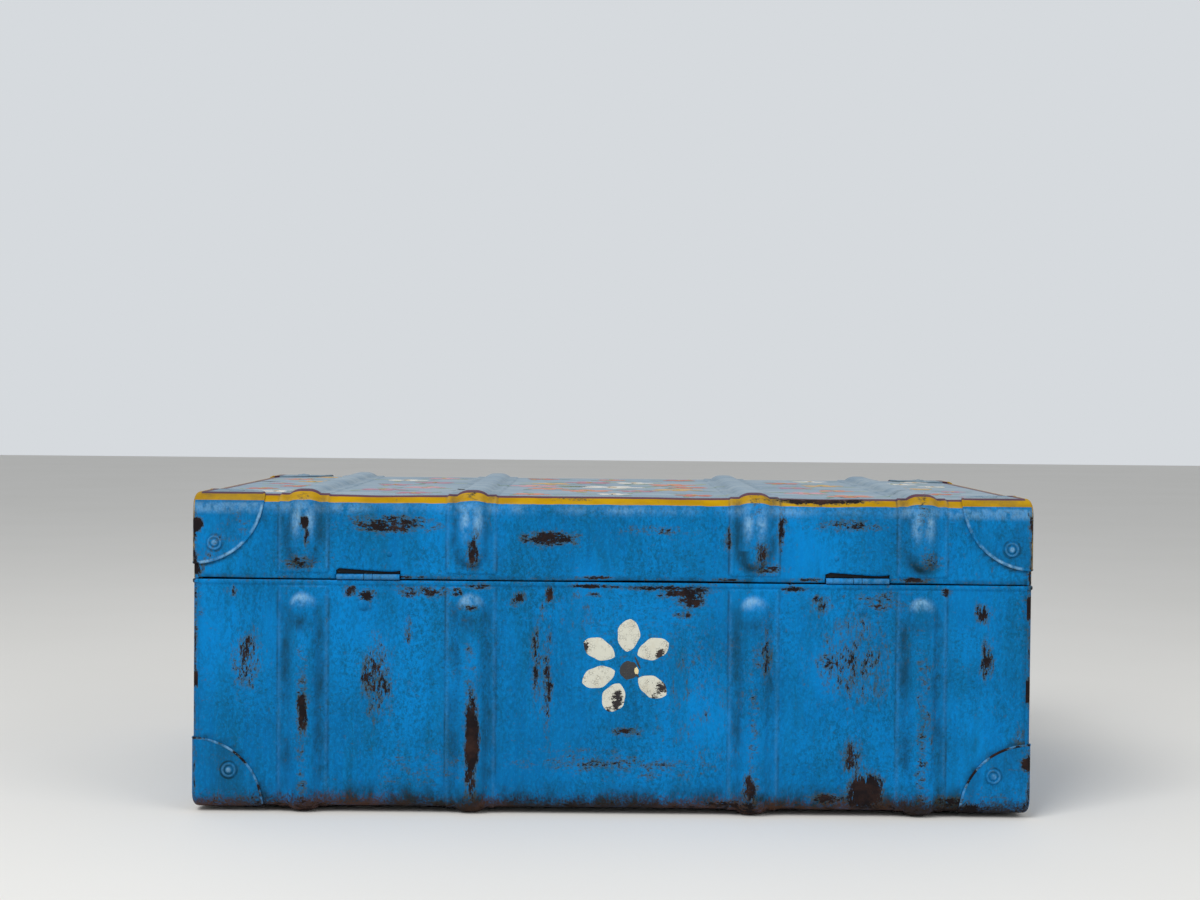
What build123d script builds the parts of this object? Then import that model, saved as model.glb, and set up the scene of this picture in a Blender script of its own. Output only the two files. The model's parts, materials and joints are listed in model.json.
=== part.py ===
from build123d import *
import os

# Small tin trunk. The body and the lid are each a bent channel of thin sheet, closed by
# two end panels with a locked seam, stiffened by four pressed ribs and held at the
# corners by riveted quarter-round caps. The lid swings on two hinges with hidden leaves;
# two toggle latches close it and a drop handle hangs on each end.
#
# Frame: X runs along the trunk, -Y is the hinge side, +Y is the latch side, Z is up.
# The origin lies on the floor below the middle of the trunk. Sizes are millimetres.

# ---------------------------------------------------------------- overall sizes
LENGTH = 600.0  # over the two end panels
DEPTH = 365.0  # over the hinge wall and the latch wall
BODY_HEIGHT = 164.0  # bottom sheet to seam
LID_HEIGHT = 60.5  # lower edge of the lid to its top sheet
SEAM_GAP = 0.5  # body rim to lid rim
SHEET = 1.0  # all painted sheet
BODY_BEND = 11.0  # outer radius between walls and bottom
LID_BEND = 12.0  # outer radius between walls and top
FIT = 0.1  # air between curved sheets that nest

# ---------------------------------------------------------------- end panels
END_BEND = 3.0  # rounding of the locked seam
SEAM_LAND = 0.5  # flat left beside that rounding
SEAM_DEPTH = END_BEND + SEAM_LAND  # seam strip seen on the long walls
SEAM_WIDTH = END_BEND + 1.5  # seam strip seen on the ends
END_RECESS = 1.0  # panel behind the seam strip
FLANGE = 6.0  # tongue of the end panel inside the channel

# ---------------------------------------------------------------- body rim
ROLL = 1.0  # rolled edge, proud of the walls
ROLL_HEIGHT = 3.0
ROLL_ROUND = 0.9
COLLAR = 1.0  # sheet of the dust collar
COLLAR_RISE = 8.0  # above the body rim, inside the lid
COLLAR_DROP = 8.0  # below the body rim
COLLAR_AIR = 0.6  # collar to lid
COLLAR_STOP = 6.0  # collar end to hinge wall
COLLAR_ROUND = 3.0

# ---------------------------------------------------------------- pressed ribs
RIB_FROM_END = 78.5  # outer rib centre to the end
RIB_PITCH = 120.2  # outer rib to inner rib
RIB_WIDTH = 22.0
RIB_CREST = 5.0  # flat on top of the rib
RIB_RISE = 3.2  # above its band
RIB_THINNING = 0.2  # of the sheet, on each side of a pressed rib
BAND_MARGIN = 6.5  # band beyond the rib, each side
BAND_RISE = 0.8
BAND_STOP = 4.0  # band end to rim
BODY_RIB_STOP = 8.0  # rib end to seam
LID_RIB_STOP = 8.1

# ---------------------------------------------------------------- corner caps
CAP_RADIUS = 50.0
CAP_SHEET = 0.9
CAP_RIVET_END = 26.0  # rivet to the nearest end or wall
CAP_RIVET_FLAT = 27.0  # rivet to the bottom or top sheet
LID_WALL_RIVET_END = 15.0
LID_WALL_RIVET_FLAT = 35.0

# ---------------------------------------------------------------- rivets
SHANK = 3.0  # diameter
SHANK_AIR = 0.05
TAIL = 5.0  # diameter of the closed end
TAIL_RISE = 0.9
CAP_HEAD = 11.0  # ringed heads on the caps
CAP_HEAD_RISE = 1.5
HINGE_HEAD = 8.0
HINGE_HEAD_RISE = 1.2
PLAIN_HEAD = 6.0  # heads on latches and handles
PLAIN_HEAD_RISE = 1.1
PIP_HEAD = 4.0  # small heads that hold the lid leaves
PIP_HEAD_RISE = 0.8

# ---------------------------------------------------------------- hinges
HINGE_FROM_END = 125.0
SLOT_LENGTH = 46.0
SLOT_HEIGHT = 6.5
KNUCKLE = 4.0  # diameter
KNUCKLE_END = 19.2  # long knuckles at both ends, on the body leaf
KNUCKLE_MIDDLE = 5.8  # short knuckle on the lid leaf
KNUCKLE_AIR = 0.4
PIN = 1.8
PIN_AIR = 0.08
PIN_ROUND = 0.3
PIN_OUT = 0.6  # pin centre beyond the hinge wall
PIN_LIFT = 0.4  # knuckle above the body rim
LEAF = 1.0
LEAF_DROP = 26.0  # body leaf below the rim
LEAF_RISE = 24.0  # lid leaf above the rim
BODY_LEAF_RIVET = 18.0  # below the rim
BODY_LEAF_RIVET_OUT = 3.5  # towards the trunk's end
LID_LEAF_RIVET = 18.0  # above the rim
LID_LEAF_RIVET_IN = 15.0  # towards the trunk's middle

# ---------------------------------------------------------------- toggle latches
LATCH_FROM_END = 125.0
LATCH_PLATE = 1.2
EAR = 1.2
EAR_INSIDE = 28.0  # between the two ears
EAR_HALF = 4.5
BASE_TOP = 10.0  # base plate below the rim
BASE_HEIGHT = 40.0
LEVER_PIN = 20.0  # lever pin below the rim
LEVER_OUT = 5.5  # lever pin in front of the wall
LEVER_PIN_SIZE = 3.0
LEVER_PIN_HEAD = 4.8  # diameter of its closed ends
LEVER_PIN_HEAD_RISE = 0.8
LEVER_WIDTH = 20.8
LEVER_HUB = 6.0
LEVER_LENGTH = 31.0
LEVER_SHEET = 1.6
LOOP_OUT = 1.5  # loop pivot in front of the lever pin
LOOP_DROP = 9.0  # loop pivot below the lever pin
LOOP_HUB = 5.2
LOOP_WIRE = 2.4
LOOP_SIDE = 12.2  # leg centre from the latch centre
LOOP_STUB = 6.0  # stub inside the lever
LOOP_LENGTH = 38.0
LOOP_BEND = 3.5
PIVOT_AIR = 0.1
CATCH_WIDTH = 26.0
CATCH_HEIGHT = 19.0
CATCH_HOOK = 18.0
CATCH_LIFT = 5.5  # hook above the lid's lower edge
CATCH_OUT = 9.4  # hook in front of the wall
CATCH_LIP = 5.0
CATCH_RIVET = 8.5  # from the latch centre
LATCH_RIVET_EDGE = 4.0  # rivet to plate edge

# ---------------------------------------------------------------- drop handles
HANDLE_LEVEL = 54.0  # pivot below the rim
HANDLE_OUT = 7.0  # pivot in front of the end panel
HANDLE_PLATE = 1.5
HANDLE_PLATE_LENGTH = 104.0
HANDLE_PLATE_HEIGHT = 24.0
HANDLE_PLATE_CORNER = 6.0
HANDLE_WIRE = 6.0
HANDLE_DROP = 40.0
HANDLE_REACH = 53.0  # leg centre from the handle centre
HANDLE_BEND = 10.0
HANDLE_ELBOW = 5.0
HANDLE_STUB = 34.0  # stub end from the handle centre
EYE_CENTRE = 41.0
EYE_WIDTH = 9.0
EYE_WALL = 2.0
HANDLE_RIVET_SIDE = 24.0
HANDLE_RIVET_LEVEL = 7.0

# ---------------------------------------------------------------- derived places
BAND = RIB_WIDTH + 2 * BAND_MARGIN
BODY_FLAT = BAND_RISE + RIB_RISE  # the ribs stand on the floor
BODY_RIM = BODY_FLAT + BODY_HEIGHT
LID_RIM = BODY_RIM + SEAM_GAP
LID_FLAT = LID_RIM + LID_HEIGHT
WALL = DEPTH / 2
END = LENGTH / 2
CHANNEL_END = END - SEAM_DEPTH
PANEL_FACE = END - END_RECESS
OUTER_RIB = END - RIB_FROM_END
RIBS = (-OUTER_RIB, RIB_PITCH - OUTER_RIB, OUTER_RIB - RIB_PITCH, OUTER_RIB)
PIN_Y = -WALL - PIN_OUT
PIN_Z = BODY_RIM + PIN_LIFT + KNUCKLE / 2
SIDES = {"left": -1, "right": 1}


# ---------------------------------------------------------------- sheet forms
def outline(rim, flat, bend, inset, x):
    """Closed section at x: open edge straight at the rim, bent where the walls end."""
    up = 1 if rim > flat else -1
    side = WALL - inset
    level = flat + up * inset
    with BuildSketch(Plane.YZ.offset(x)) as section:
        with BuildLine():
            walls = FilletPolyline(
                (-side, rim), (-side, level), (side, level), (side, rim), radius=bend - inset
            )
            Line(walls @ 1, walls @ 0)
        make_face()
    return section.sketch


def block(rim, flat, bend, grow):
    """Outer form of the body or the lid, grown by a distance, with rounded ends."""
    half = END + grow
    with BuildPart() as form:
        extrude(outline(rim, flat, bend, -grow, -half), amount=2 * half)
        end_edges = form.faces().filter_by(Axis.X).edges()
        fillet(end_edges.filter_by(lambda edge: abs(edge.center().Z - rim) > SHEET), END_BEND + grow)
    return form.part


def half_rib(width, rise, root):
    """Right half of a rib's section, from below its foot to its flat crest."""
    crest = RIB_CREST / 2
    Polyline((0, -root), (0, rise), (crest, rise))
    TangentArc((crest, rise), (width / 2, 0), tangent=(1, 0))
    Polyline((width / 2, 0), (width / 2, -root), (0, -root))


def rib(x, stop, flat, bend, inset, width, rise, root):
    """Pressed rib over wall, flat sheet and wall, with a round end at each stop."""
    up = 1 if stop > flat else -1
    side = WALL - inset
    level = flat + up * inset
    foot = Plane(origin=(x, -side, stop), x_dir=(1, 0, 0), z_dir=(0, 0, -1))
    with BuildPart() as bead:
        with BuildLine(Plane.YZ.offset(x)) as route:
            FilletPolyline(
                (-side, stop), (-side, level), (side, level), (side, stop), radius=bend - inset
            )
        with BuildSketch(foot):
            with BuildLine():
                half_rib(width, rise, root)
            make_face()
            mirror(about=Plane.YZ)
        sweep(path=route.wire())
        with BuildSketch(foot):
            with BuildLine():
                half_rib(width, rise, root)
            make_face()
        dome = revolve(axis=Axis((x, -side, stop), (0, -up, 0)), revolution_arc=180)
        mirror(dome, about=Plane.XZ)
    return bead.part


def channel(rim, flat, bend, rib_stop):
    """Walls and flat sheet in one bent piece, with its bands and ribs pressed outwards."""
    up = 1 if rim > flat else -1
    stop = rim - up * (rib_stop + RIB_WIDTH / 2)
    band_rim = rim - up * BAND_STOP
    run = 2 * CHANNEL_END
    hollow_width = RIB_WIDTH - 2 * (1 - RIB_THINNING) * SHEET
    with BuildPart() as sheet:
        extrude(outline(rim, flat, bend, 0, -CHANNEL_END), amount=run)
        for x in RIBS:
            extrude(outline(band_rim, flat, bend, -BAND_RISE, x - BAND / 2), amount=BAND)
            add(rib(x, stop, flat, bend, -BAND_RISE, RIB_WIDTH, RIB_RISE, BAND_RISE + SHEET / 2))
        extrude(outline(rim + up, flat, bend, SHEET, -CHANNEL_END), amount=run, mode=Mode.SUBTRACT)
        for x in RIBS:
            extrude(
                outline(band_rim - up * SHEET, flat, bend, SHEET - BAND_RISE, x - BAND / 2 + SHEET),
                amount=BAND - 2 * SHEET,
                mode=Mode.SUBTRACT,
            )
            add(
                rib(x, stop, flat, bend, SHEET - BAND_RISE, hollow_width, RIB_RISE, SHEET),
                mode=Mode.SUBTRACT,
            )
    return sheet.part


def end_panel(rim, flat, bend, hollow_rim):
    """Right-hand end: seam strip all round, recessed panel, tongue inside the channel."""
    up = 1 if rim > flat else -1
    tongue_rim = rim - up * (max(COLLAR_RISE, COLLAR_DROP) + SHEET)
    with BuildPart() as panel:
        add(block(rim, flat, bend, 0))
        split(bisect_by=Plane.YZ.offset(CHANNEL_END), keep=Keep.TOP)
        extrude(
            outline(rim - up * SEAM_WIDTH, flat, bend, SEAM_WIDTH, PANEL_FACE),
            amount=2 * END_RECESS,
            mode=Mode.SUBTRACT,
        )
        extrude(
            outline(hollow_rim, flat, bend, SEAM_WIDTH, CHANNEL_END),
            amount=PANEL_FACE - SHEET - CHANNEL_END,
            mode=Mode.SUBTRACT,
        )
    with BuildPart() as whole:
        extrude(outline(tongue_rim, flat, bend, SHEET + FIT, CHANNEL_END - FLANGE), amount=FLANGE)
        extrude(
            outline(tongue_rim + up, flat, bend, 2 * SHEET + FIT, CHANNEL_END - FLANGE),
            amount=FLANGE,
            mode=Mode.SUBTRACT,
        )
        add(panel.part)
    return whole.part


def rim_roll():
    """Rolled edge round the whole body rim."""
    with BuildPart() as roll:
        with BuildSketch(Plane.XY.offset(BODY_RIM - ROLL_HEIGHT)):
            RectangleRounded(LENGTH + 2 * ROLL, DEPTH + 2 * ROLL, END_BEND + ROLL)
        extrude(amount=ROLL_HEIGHT)
        level_faces = roll.faces().filter_by(Axis.Z)
        fillet(level_faces.edges(), ROLL_ROUND)
        with BuildSketch(Plane.XY.offset(BODY_RIM - ROLL_HEIGHT)):
            Rectangle(2 * CHANNEL_END, DEPTH - 2 * SHEET)
        extrude(amount=ROLL_HEIGHT, mode=Mode.SUBTRACT)
    return roll.part


# ---------------------------------------------------------------- rivets
def rivet(head, rise, grip, ringed=False):
    """Rivet along Z: its head stands on z = 0 and its tail closes below the grip."""
    with BuildPart() as pin:
        with BuildSketch(Plane.XZ):
            with BuildLine():
                if ringed:
                    dome = ThreePointArc((0, rise), (0.16 * head, 0.8 * rise), (0.27 * head, 0.3 * rise))
                    ledge = Line(dome @ 1, (0.33 * head, 0.3 * rise))
                    ThreePointArc(ledge @ 1, (0.42 * head, 0.6 * rise), (head / 2, 0))
                else:
                    ThreePointArc((0, rise), (0.32 * head, 0.66 * rise), (head / 2, 0))
                Polyline(
                    (head / 2, 0),
                    (SHANK / 2, 0),
                    (SHANK / 2, -grip),
                    (TAIL / 2, -grip),
                    (TAIL / 2 - TAIL_RISE / 2, -grip - TAIL_RISE),
                    (0, -grip - TAIL_RISE),
                    (0, rise),
                )
            make_face()
        revolve(axis=Axis.Z)
    return pin.part


def rivets(places, head, rise, grip, ringed=False):
    """One rivet at each place, as separate solids."""
    with BuildPart() as row:
        with Locations(*places):
            add(rivet(head, rise, grip, ringed))
    return row.part


def drill(places, grip):
    """Holes for rivets in the part that is being made."""
    with Locations(*places):
        Cylinder(SHANK / 2 + SHANK_AIR, 4 * grip, mode=Mode.SUBTRACT)


def on_wall(x, z, side, out=0.0):
    """Place on the hinge wall (side -1) or the latch wall (side 1), facing out."""
    return Plane(origin=(x, side * (WALL + out), z), z_dir=(0, side, 0))


def on_end(y, z, side, face):
    """Place on the left end (side -1) or the right end (side 1), facing out."""
    return Plane(origin=(side * face, y, z), z_dir=(side, 0, 0))


def cap_sheet_places(flat, inwards, wall_end, wall_flat):
    """Rivets of four caps through the walls and through the bottom or top sheet."""
    out = FIT + CAP_SHEET
    places = []
    for side in (-1, 1):
        for hand in (-1, 1):
            places.append(on_wall(hand * (END - wall_end), flat + inwards * wall_flat, side, out))
            spot = (hand * (END - CAP_RIVET_END), side * (WALL - CAP_RIVET_FLAT), flat - inwards * out)
            places.append(Plane(origin=spot, z_dir=(0, 0, -inwards)))
    return places


def cap_end_places(flat, inwards):
    """Rivets of four caps through the end panels."""
    z = flat + inwards * CAP_RIVET_FLAT
    y = WALL - CAP_RIVET_END
    return [on_end(side * y, z, hand, END + FIT + CAP_SHEET) for side in (-1, 1) for hand in (-1, 1)]


CAP_GRIP = CAP_SHEET + FIT + SHEET
CAP_END_GRIP = CAP_GRIP + END_RECESS
BODY_CAP_PLACES = cap_sheet_places(BODY_FLAT, 1, CAP_RIVET_END, CAP_RIVET_FLAT)
BODY_CAP_END_PLACES = cap_end_places(BODY_FLAT, 1)
LID_CAP_PLACES = cap_sheet_places(LID_FLAT, -1, LID_WALL_RIVET_END, LID_WALL_RIVET_FLAT)
LID_CAP_END_PLACES = cap_end_places(LID_FLAT, -1)

HINGE_X = {name: hand * (END - HINGE_FROM_END) for name, hand in SIDES.items()}
BODY_HINGE_PLACES = [
    on_wall(HINGE_X[name] + hand * BODY_LEAF_RIVET_OUT, BODY_RIM - BODY_LEAF_RIVET, -1)
    for name, hand in SIDES.items()
]
LID_HINGE_PLACES = [
    on_wall(HINGE_X[name] - hand * LID_LEAF_RIVET_IN, LID_RIM + LID_LEAF_RIVET, -1)
    for name, hand in SIDES.items()
]
HINGE_GRIP = SHEET + LEAF

LATCH_X = {name: hand * (END - LATCH_FROM_END) for name, hand in SIDES.items()}
BASE_LOW = BODY_RIM - BASE_TOP - BASE_HEIGHT
BASE_PLACES = [
    on_wall(x, z, 1, LATCH_PLATE)
    for x in LATCH_X.values()
    for z in (BASE_LOW + LATCH_RIVET_EDGE, BODY_RIM - BASE_TOP - LATCH_RIVET_EDGE)
]
CATCH_LOW = LID_RIM + CATCH_LIFT
CATCH_TOP = CATCH_LOW + CATCH_HEIGHT
CATCH_PLACES = [
    on_wall(x + offset, CATCH_TOP - LATCH_RIVET_EDGE, 1, LATCH_PLATE)
    for x in LATCH_X.values()
    for offset in (-CATCH_RIVET, CATCH_RIVET)
]
LATCH_GRIP = LATCH_PLATE + SHEET

HANDLE_Z = BODY_RIM - HANDLE_LEVEL
HANDLE_PLACES = [
    on_end(y, HANDLE_Z + level, hand, PANEL_FACE + HANDLE_PLATE)
    for hand in SIDES.values()
    for y in (-HANDLE_RIVET_SIDE, HANDLE_RIVET_SIDE)
    for level in (-HANDLE_RIVET_LEVEL, HANDLE_RIVET_LEVEL)
]
HANDLE_GRIP = HANDLE_PLATE + SHEET

pieces = {}

# ---------------------------------------------------------------- body shell
with BuildPart() as body_wrap:
    add(rim_roll())
    split(bisect_by=Plane.YZ.offset(CHANNEL_END), keep=Keep.BOTTOM)
    split(bisect_by=Plane.YZ.offset(-CHANNEL_END), keep=Keep.TOP)
    add(channel(BODY_RIM, BODY_FLAT, BODY_BEND, BODY_RIB_STOP))
    drill(BODY_CAP_PLACES, CAP_GRIP)
    drill(BODY_HINGE_PLACES, HINGE_GRIP)
    drill(BASE_PLACES, LATCH_GRIP)
    # Cut into touching solids: two walls, two halves of each bend, and the bottom.
    bend_level = BODY_FLAT + BODY_BEND
    split(bisect_by=Plane.XY.offset(bend_level), keep=Keep.BOTH)
    for side in (-1, 1):
        bend_axis = (0, side * (WALL - BODY_BEND), bend_level)
        split(bisect_by=Plane(origin=bend_axis, z_dir=(0, 1, 0)), keep=Keep.BOTH)
        split(bisect_by=Plane(origin=bend_axis, z_dir=(0, side, 1)), keep=Keep.BOTH)
pieces["body_wrap"] = body_wrap.part

with BuildPart() as body_end_right:
    add(rim_roll())
    split(bisect_by=Plane.YZ.offset(CHANNEL_END), keep=Keep.TOP)
    add(end_panel(BODY_RIM, BODY_FLAT, BODY_BEND, BODY_RIM - SEAM_WIDTH))
    drill(BODY_CAP_END_PLACES, CAP_END_GRIP)
    drill(HANDLE_PLACES, HANDLE_GRIP)
pieces["body_end_right"] = body_end_right.part
pieces["body_end_left"] = body_end_right.part.mirror(Plane.YZ)

# ---------------------------------------------------------------- dust collar
COLLAR_SEAT = COLLAR + COLLAR_AIR
COLLAR_HINGE_END = COLLAR_STOP - WALL
with BuildPart() as rim_band:
    for low, height, inset in (
        (BODY_RIM - COLLAR_DROP, COLLAR_DROP, 0),
        (BODY_RIM, COLLAR_RISE, COLLAR_AIR),
    ):
        front = WALL - SHEET - inset
        reach = CHANNEL_END - inset
        with BuildSketch(Plane.XY.offset(low)):
            with BuildLine():
                legs = FilletPolyline(
                    (-reach, COLLAR_HINGE_END),
                    (-reach, front),
                    (reach, front),
                    (reach, COLLAR_HINGE_END),
                    radius=COLLAR_ROUND - inset,
                )
                Line(legs @ 1, legs @ 0)
            make_face()
        extrude(amount=height)
    with BuildSketch(Plane.XY.offset(BODY_RIM - COLLAR_DROP)):
        with BuildLine():
            inner_front = WALL - SHEET - COLLAR_SEAT
            inner_reach = CHANNEL_END - COLLAR_SEAT
            legs = FilletPolyline(
                (-inner_reach, -WALL),
                (-inner_reach, inner_front),
                (inner_reach, inner_front),
                (inner_reach, -WALL),
                radius=COLLAR_ROUND - COLLAR_SEAT,
            )
            Line(legs @ 1, legs @ 0)
        make_face()
    extrude(amount=COLLAR_DROP + COLLAR_RISE, mode=Mode.SUBTRACT)
pieces["rim_band"] = rim_band.part

# ---------------------------------------------------------------- lid shell
with BuildPart() as lid_wrap:
    add(channel(LID_RIM, LID_FLAT, LID_BEND, LID_RIB_STOP))
    with Locations(*[(x, -WALL, LID_RIM) for x in HINGE_X.values()]):
        Box(SLOT_LENGTH, 4 * SHEET, 2 * SLOT_HEIGHT, mode=Mode.SUBTRACT)
    drill(LID_CAP_PLACES, CAP_GRIP)
    drill(LID_HINGE_PLACES, HINGE_GRIP)
    drill(CATCH_PLACES, LATCH_GRIP)
pieces["lid_wrap"] = lid_wrap.part

with BuildPart() as lid_end_right:
    add(end_panel(LID_RIM, LID_FLAT, LID_BEND, LID_RIM - SEAM_WIDTH))
    drill(LID_CAP_END_PLACES, CAP_END_GRIP)
pieces["lid_end_right"] = lid_end_right.part
pieces["lid_end_left"] = lid_end_right.part.mirror(Plane.YZ)


# ---------------------------------------------------------------- corner caps
def corner_cap(rim, flat, bend, sheet_places, end_places):
    """Right-hand cap on the latch side: a pressed skin over three faces."""
    with BuildPart() as cap:
        add(block(rim, flat, bend, FIT + CAP_SHEET))
        add(block(rim, flat, bend, FIT), mode=Mode.SUBTRACT)
        with Locations((END, WALL, flat)):
            Sphere(CAP_RADIUS, mode=Mode.INTERSECT)
        drill(sheet_places, CAP_GRIP)
        drill(end_places, CAP_END_GRIP)
    return cap.part


CAPS = {
    "body": corner_cap(BODY_RIM, BODY_FLAT, BODY_BEND, BODY_CAP_PLACES, BODY_CAP_END_PLACES),
    "lid": corner_cap(LID_RIM, LID_FLAT, LID_BEND, LID_CAP_PLACES, LID_CAP_END_PLACES),
}
for owner, cap in CAPS.items():
    pieces[f"{owner}_cap_latch_right"] = cap
    pieces[f"{owner}_cap_latch_left"] = cap.mirror(Plane.YZ)
    pieces[f"{owner}_cap_hinge_right"] = cap.mirror(Plane.XZ)
    pieces[f"{owner}_cap_hinge_left"] = cap.mirror(Plane.XZ).mirror(Plane.YZ)

with BuildPart() as body_cap_rivets:
    add(rivets(BODY_CAP_PLACES, CAP_HEAD, CAP_HEAD_RISE, CAP_GRIP, ringed=True))
    add(rivets(BODY_CAP_END_PLACES, CAP_HEAD, CAP_HEAD_RISE, CAP_END_GRIP, ringed=True))
pieces["body_cap_rivets"] = body_cap_rivets.part

with BuildPart() as lid_cap_rivets:
    add(rivets(LID_CAP_PLACES, CAP_HEAD, CAP_HEAD_RISE, CAP_GRIP, ringed=True))
    add(rivets(LID_CAP_END_PLACES, CAP_HEAD, CAP_HEAD_RISE, CAP_END_GRIP, ringed=True))
pieces["lid_cap_rivets"] = lid_cap_rivets.part

# ---------------------------------------------------------------- hinges
LEAF_FACE = -WALL + SHEET  # inner face of the hinge wall
LEAF_BACK = LEAF_FACE + LEAF
HINGE_WIDTH = 2 * KNUCKLE_END + KNUCKLE_MIDDLE + 2 * KNUCKLE_AIR
KNUCKLE_STEP = (KNUCKLE_MIDDLE + KNUCKLE_END) / 2 + KNUCKLE_AIR
CORNER = (Align.MIN, Align.MIN)


def hinge_leaf(x, knuckles, arm_low, plate_low, plate_high):
    """Plate inside the wall, with an arm out through the slot to each rolled knuckle."""
    tab_low = min(arm_low, plate_high)
    tab_high = max(arm_low + LEAF, plate_low)
    with BuildPart() as leaf:
        with BuildSketch(Plane.XZ.offset(-LEAF_BACK)):
            with Locations((x, (plate_low + plate_high) / 2)):
                Rectangle(HINGE_WIDTH, plate_high - plate_low)
        extrude(amount=LEAF)
        for offset, width in knuckles:
            with BuildSketch(Plane.YZ.offset(x + offset - width / 2)):
                with Locations((PIN_Y, PIN_Z)):
                    Circle(KNUCKLE / 2)
                with Locations((PIN_Y, arm_low)):
                    Rectangle(LEAF_BACK - PIN_Y, LEAF, align=CORNER)
                with Locations((LEAF_FACE, tab_low)):
                    Rectangle(LEAF, tab_high - tab_low, align=CORNER)
            extrude(amount=width)
        with Locations((x, PIN_Y, PIN_Z)):
            Cylinder(PIN / 2 + PIN_AIR, HINGE_WIDTH, rotation=(0, 90, 0), mode=Mode.SUBTRACT)
        drill(BODY_HINGE_PLACES + LID_HINGE_PLACES, HINGE_GRIP)
    return leaf.part


def hinge_pin(x):
    """Pin through all three knuckles, slightly rounded at both ends."""
    with BuildPart() as pin:
        with Locations((x, PIN_Y, PIN_Z)):
            Cylinder(PIN / 2, HINGE_WIDTH, rotation=(0, 90, 0))
        fillet(pin.edges().filter_by(GeomType.CIRCLE), PIN_ROUND)
    return pin.part


for name, x in HINGE_X.items():
    pieces[f"hinge_{name}_body_leaf"] = hinge_leaf(
        x,
        [(-KNUCKLE_STEP, KNUCKLE_END), (KNUCKLE_STEP, KNUCKLE_END)],
        PIN_Z - KNUCKLE / 2,
        BODY_RIM - LEAF_DROP,
        BODY_RIM,
    )
    pieces[f"hinge_{name}_lid_leaf"] = hinge_leaf(
        x,
        [(0, KNUCKLE_MIDDLE)],
        PIN_Z + KNUCKLE / 2 - LEAF,
        PIN_Z + KNUCKLE / 2 + PIN_LIFT,
        LID_RIM + LEAF_RISE,
    )
    pieces[f"hinge_{name}_pin"] = hinge_pin(x)
pieces["hinge_body_rivets"] = rivets(BODY_HINGE_PLACES, HINGE_HEAD, HINGE_HEAD_RISE, HINGE_GRIP)
pieces["hinge_lid_rivets"] = rivets(LID_HINGE_PLACES, PIP_HEAD, PIP_HEAD_RISE, HINGE_GRIP)

# ---------------------------------------------------------------- toggle latches
LEVER_Y = WALL + LEVER_OUT
LEVER_Z = BODY_RIM - LEVER_PIN
LOOP_Y = LEVER_Y + LOOP_OUT
LOOP_Z = LEVER_Z - LOOP_DROP
BASE_WIDTH = EAR_INSIDE + 2 * EAR


def latch_plane(x):
    """Latch wall at x, with the sketch's y axis upwards."""
    return Plane(origin=(x, WALL, 0), x_dir=(-1, 0, 0), z_dir=(0, 1, 0))


def latch_base(x):
    """Plate on the body with two ears for the lever pin."""
    with BuildPart() as base:
        with BuildSketch(latch_plane(x)):
            with Locations((0, BASE_LOW + BASE_HEIGHT / 2)):
                RectangleRounded(BASE_WIDTH, BASE_HEIGHT, LATCH_RIVET_EDGE)
        extrude(amount=LATCH_PLATE)
        for inner in (-EAR_INSIDE / 2 - EAR, EAR_INSIDE / 2):
            with BuildSketch(Plane.YZ.offset(x + inner)):
                with Locations((LEVER_Y, LEVER_Z)):
                    Circle(EAR_HALF)
                with Locations((WALL, LEVER_Z - EAR_HALF)):
                    Rectangle(LEVER_OUT, 2 * EAR_HALF, align=CORNER)
            extrude(amount=EAR)
        with Locations((x, LEVER_Y, LEVER_Z)):
            Cylinder(
                LEVER_PIN_SIZE / 2 + SHANK_AIR,
                2 * BASE_WIDTH,
                rotation=(0, 90, 0),
                mode=Mode.SUBTRACT,
            )
        drill(BASE_PLACES, LATCH_GRIP)
    return base.part


def latch_pin(x):
    """Lever pin, closed outside both ears."""
    with BuildPart() as pin:
        with Locations((x, LEVER_Y, LEVER_Z)):
            Cylinder(LEVER_PIN_SIZE / 2, BASE_WIDTH + 2 * LEVER_PIN_HEAD_RISE, rotation=(0, 90, 0))
        head_out = (BASE_WIDTH + LEVER_PIN_HEAD_RISE) / 2
        with Locations(*[(x + side * head_out, LEVER_Y, LEVER_Z) for side in (-1, 1)]):
            Cylinder(LEVER_PIN_HEAD / 2, LEVER_PIN_HEAD_RISE, rotation=(0, 90, 0))
    return pin.part


def latch_lever(x):
    """Lever: hub on the pin, second hub for the loop, plate down to a curled lip."""
    with BuildPart() as lever:
        with BuildSketch(Plane.YZ.offset(x - LEVER_WIDTH / 2)):
            with Locations((LEVER_Y, LEVER_Z)):
                Circle(LEVER_HUB / 2)
            with Locations((LOOP_Y, LOOP_Z)):
                Circle(LOOP_HUB / 2)
            make_hull()
            with Locations((LOOP_Y - LEVER_SHEET / 2, LEVER_Z - LEVER_LENGTH)):
                Rectangle(LEVER_SHEET, LEVER_LENGTH - LOOP_DROP, align=CORNER)
            with Locations((LOOP_Y + LEVER_SHEET / 2, LEVER_Z - LEVER_LENGTH)):
                Circle(LEVER_SHEET)
        extrude(amount=LEVER_WIDTH)
        for y, z, size in ((LEVER_Y, LEVER_Z, LEVER_PIN_SIZE), (LOOP_Y, LOOP_Z, LOOP_WIRE)):
            with Locations((x, y, z)):
                Cylinder(
                    size / 2 + PIVOT_AIR,
                    LEVER_WIDTH,
                    rotation=(0, 90, 0),
                    mode=Mode.SUBTRACT,
                )
    return lever.part


def wire(corners, radii, size):
    """Round wire along straight runs with bends."""
    with BuildPart() as bar:
        with BuildLine() as route:
            FilletPolyline(*corners, radius=radii)
        with BuildSketch(Plane(origin=route.line @ 0, z_dir=route.line % 0)):
            Circle(size / 2)
        sweep(path=route.wire())
    return bar.part


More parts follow.
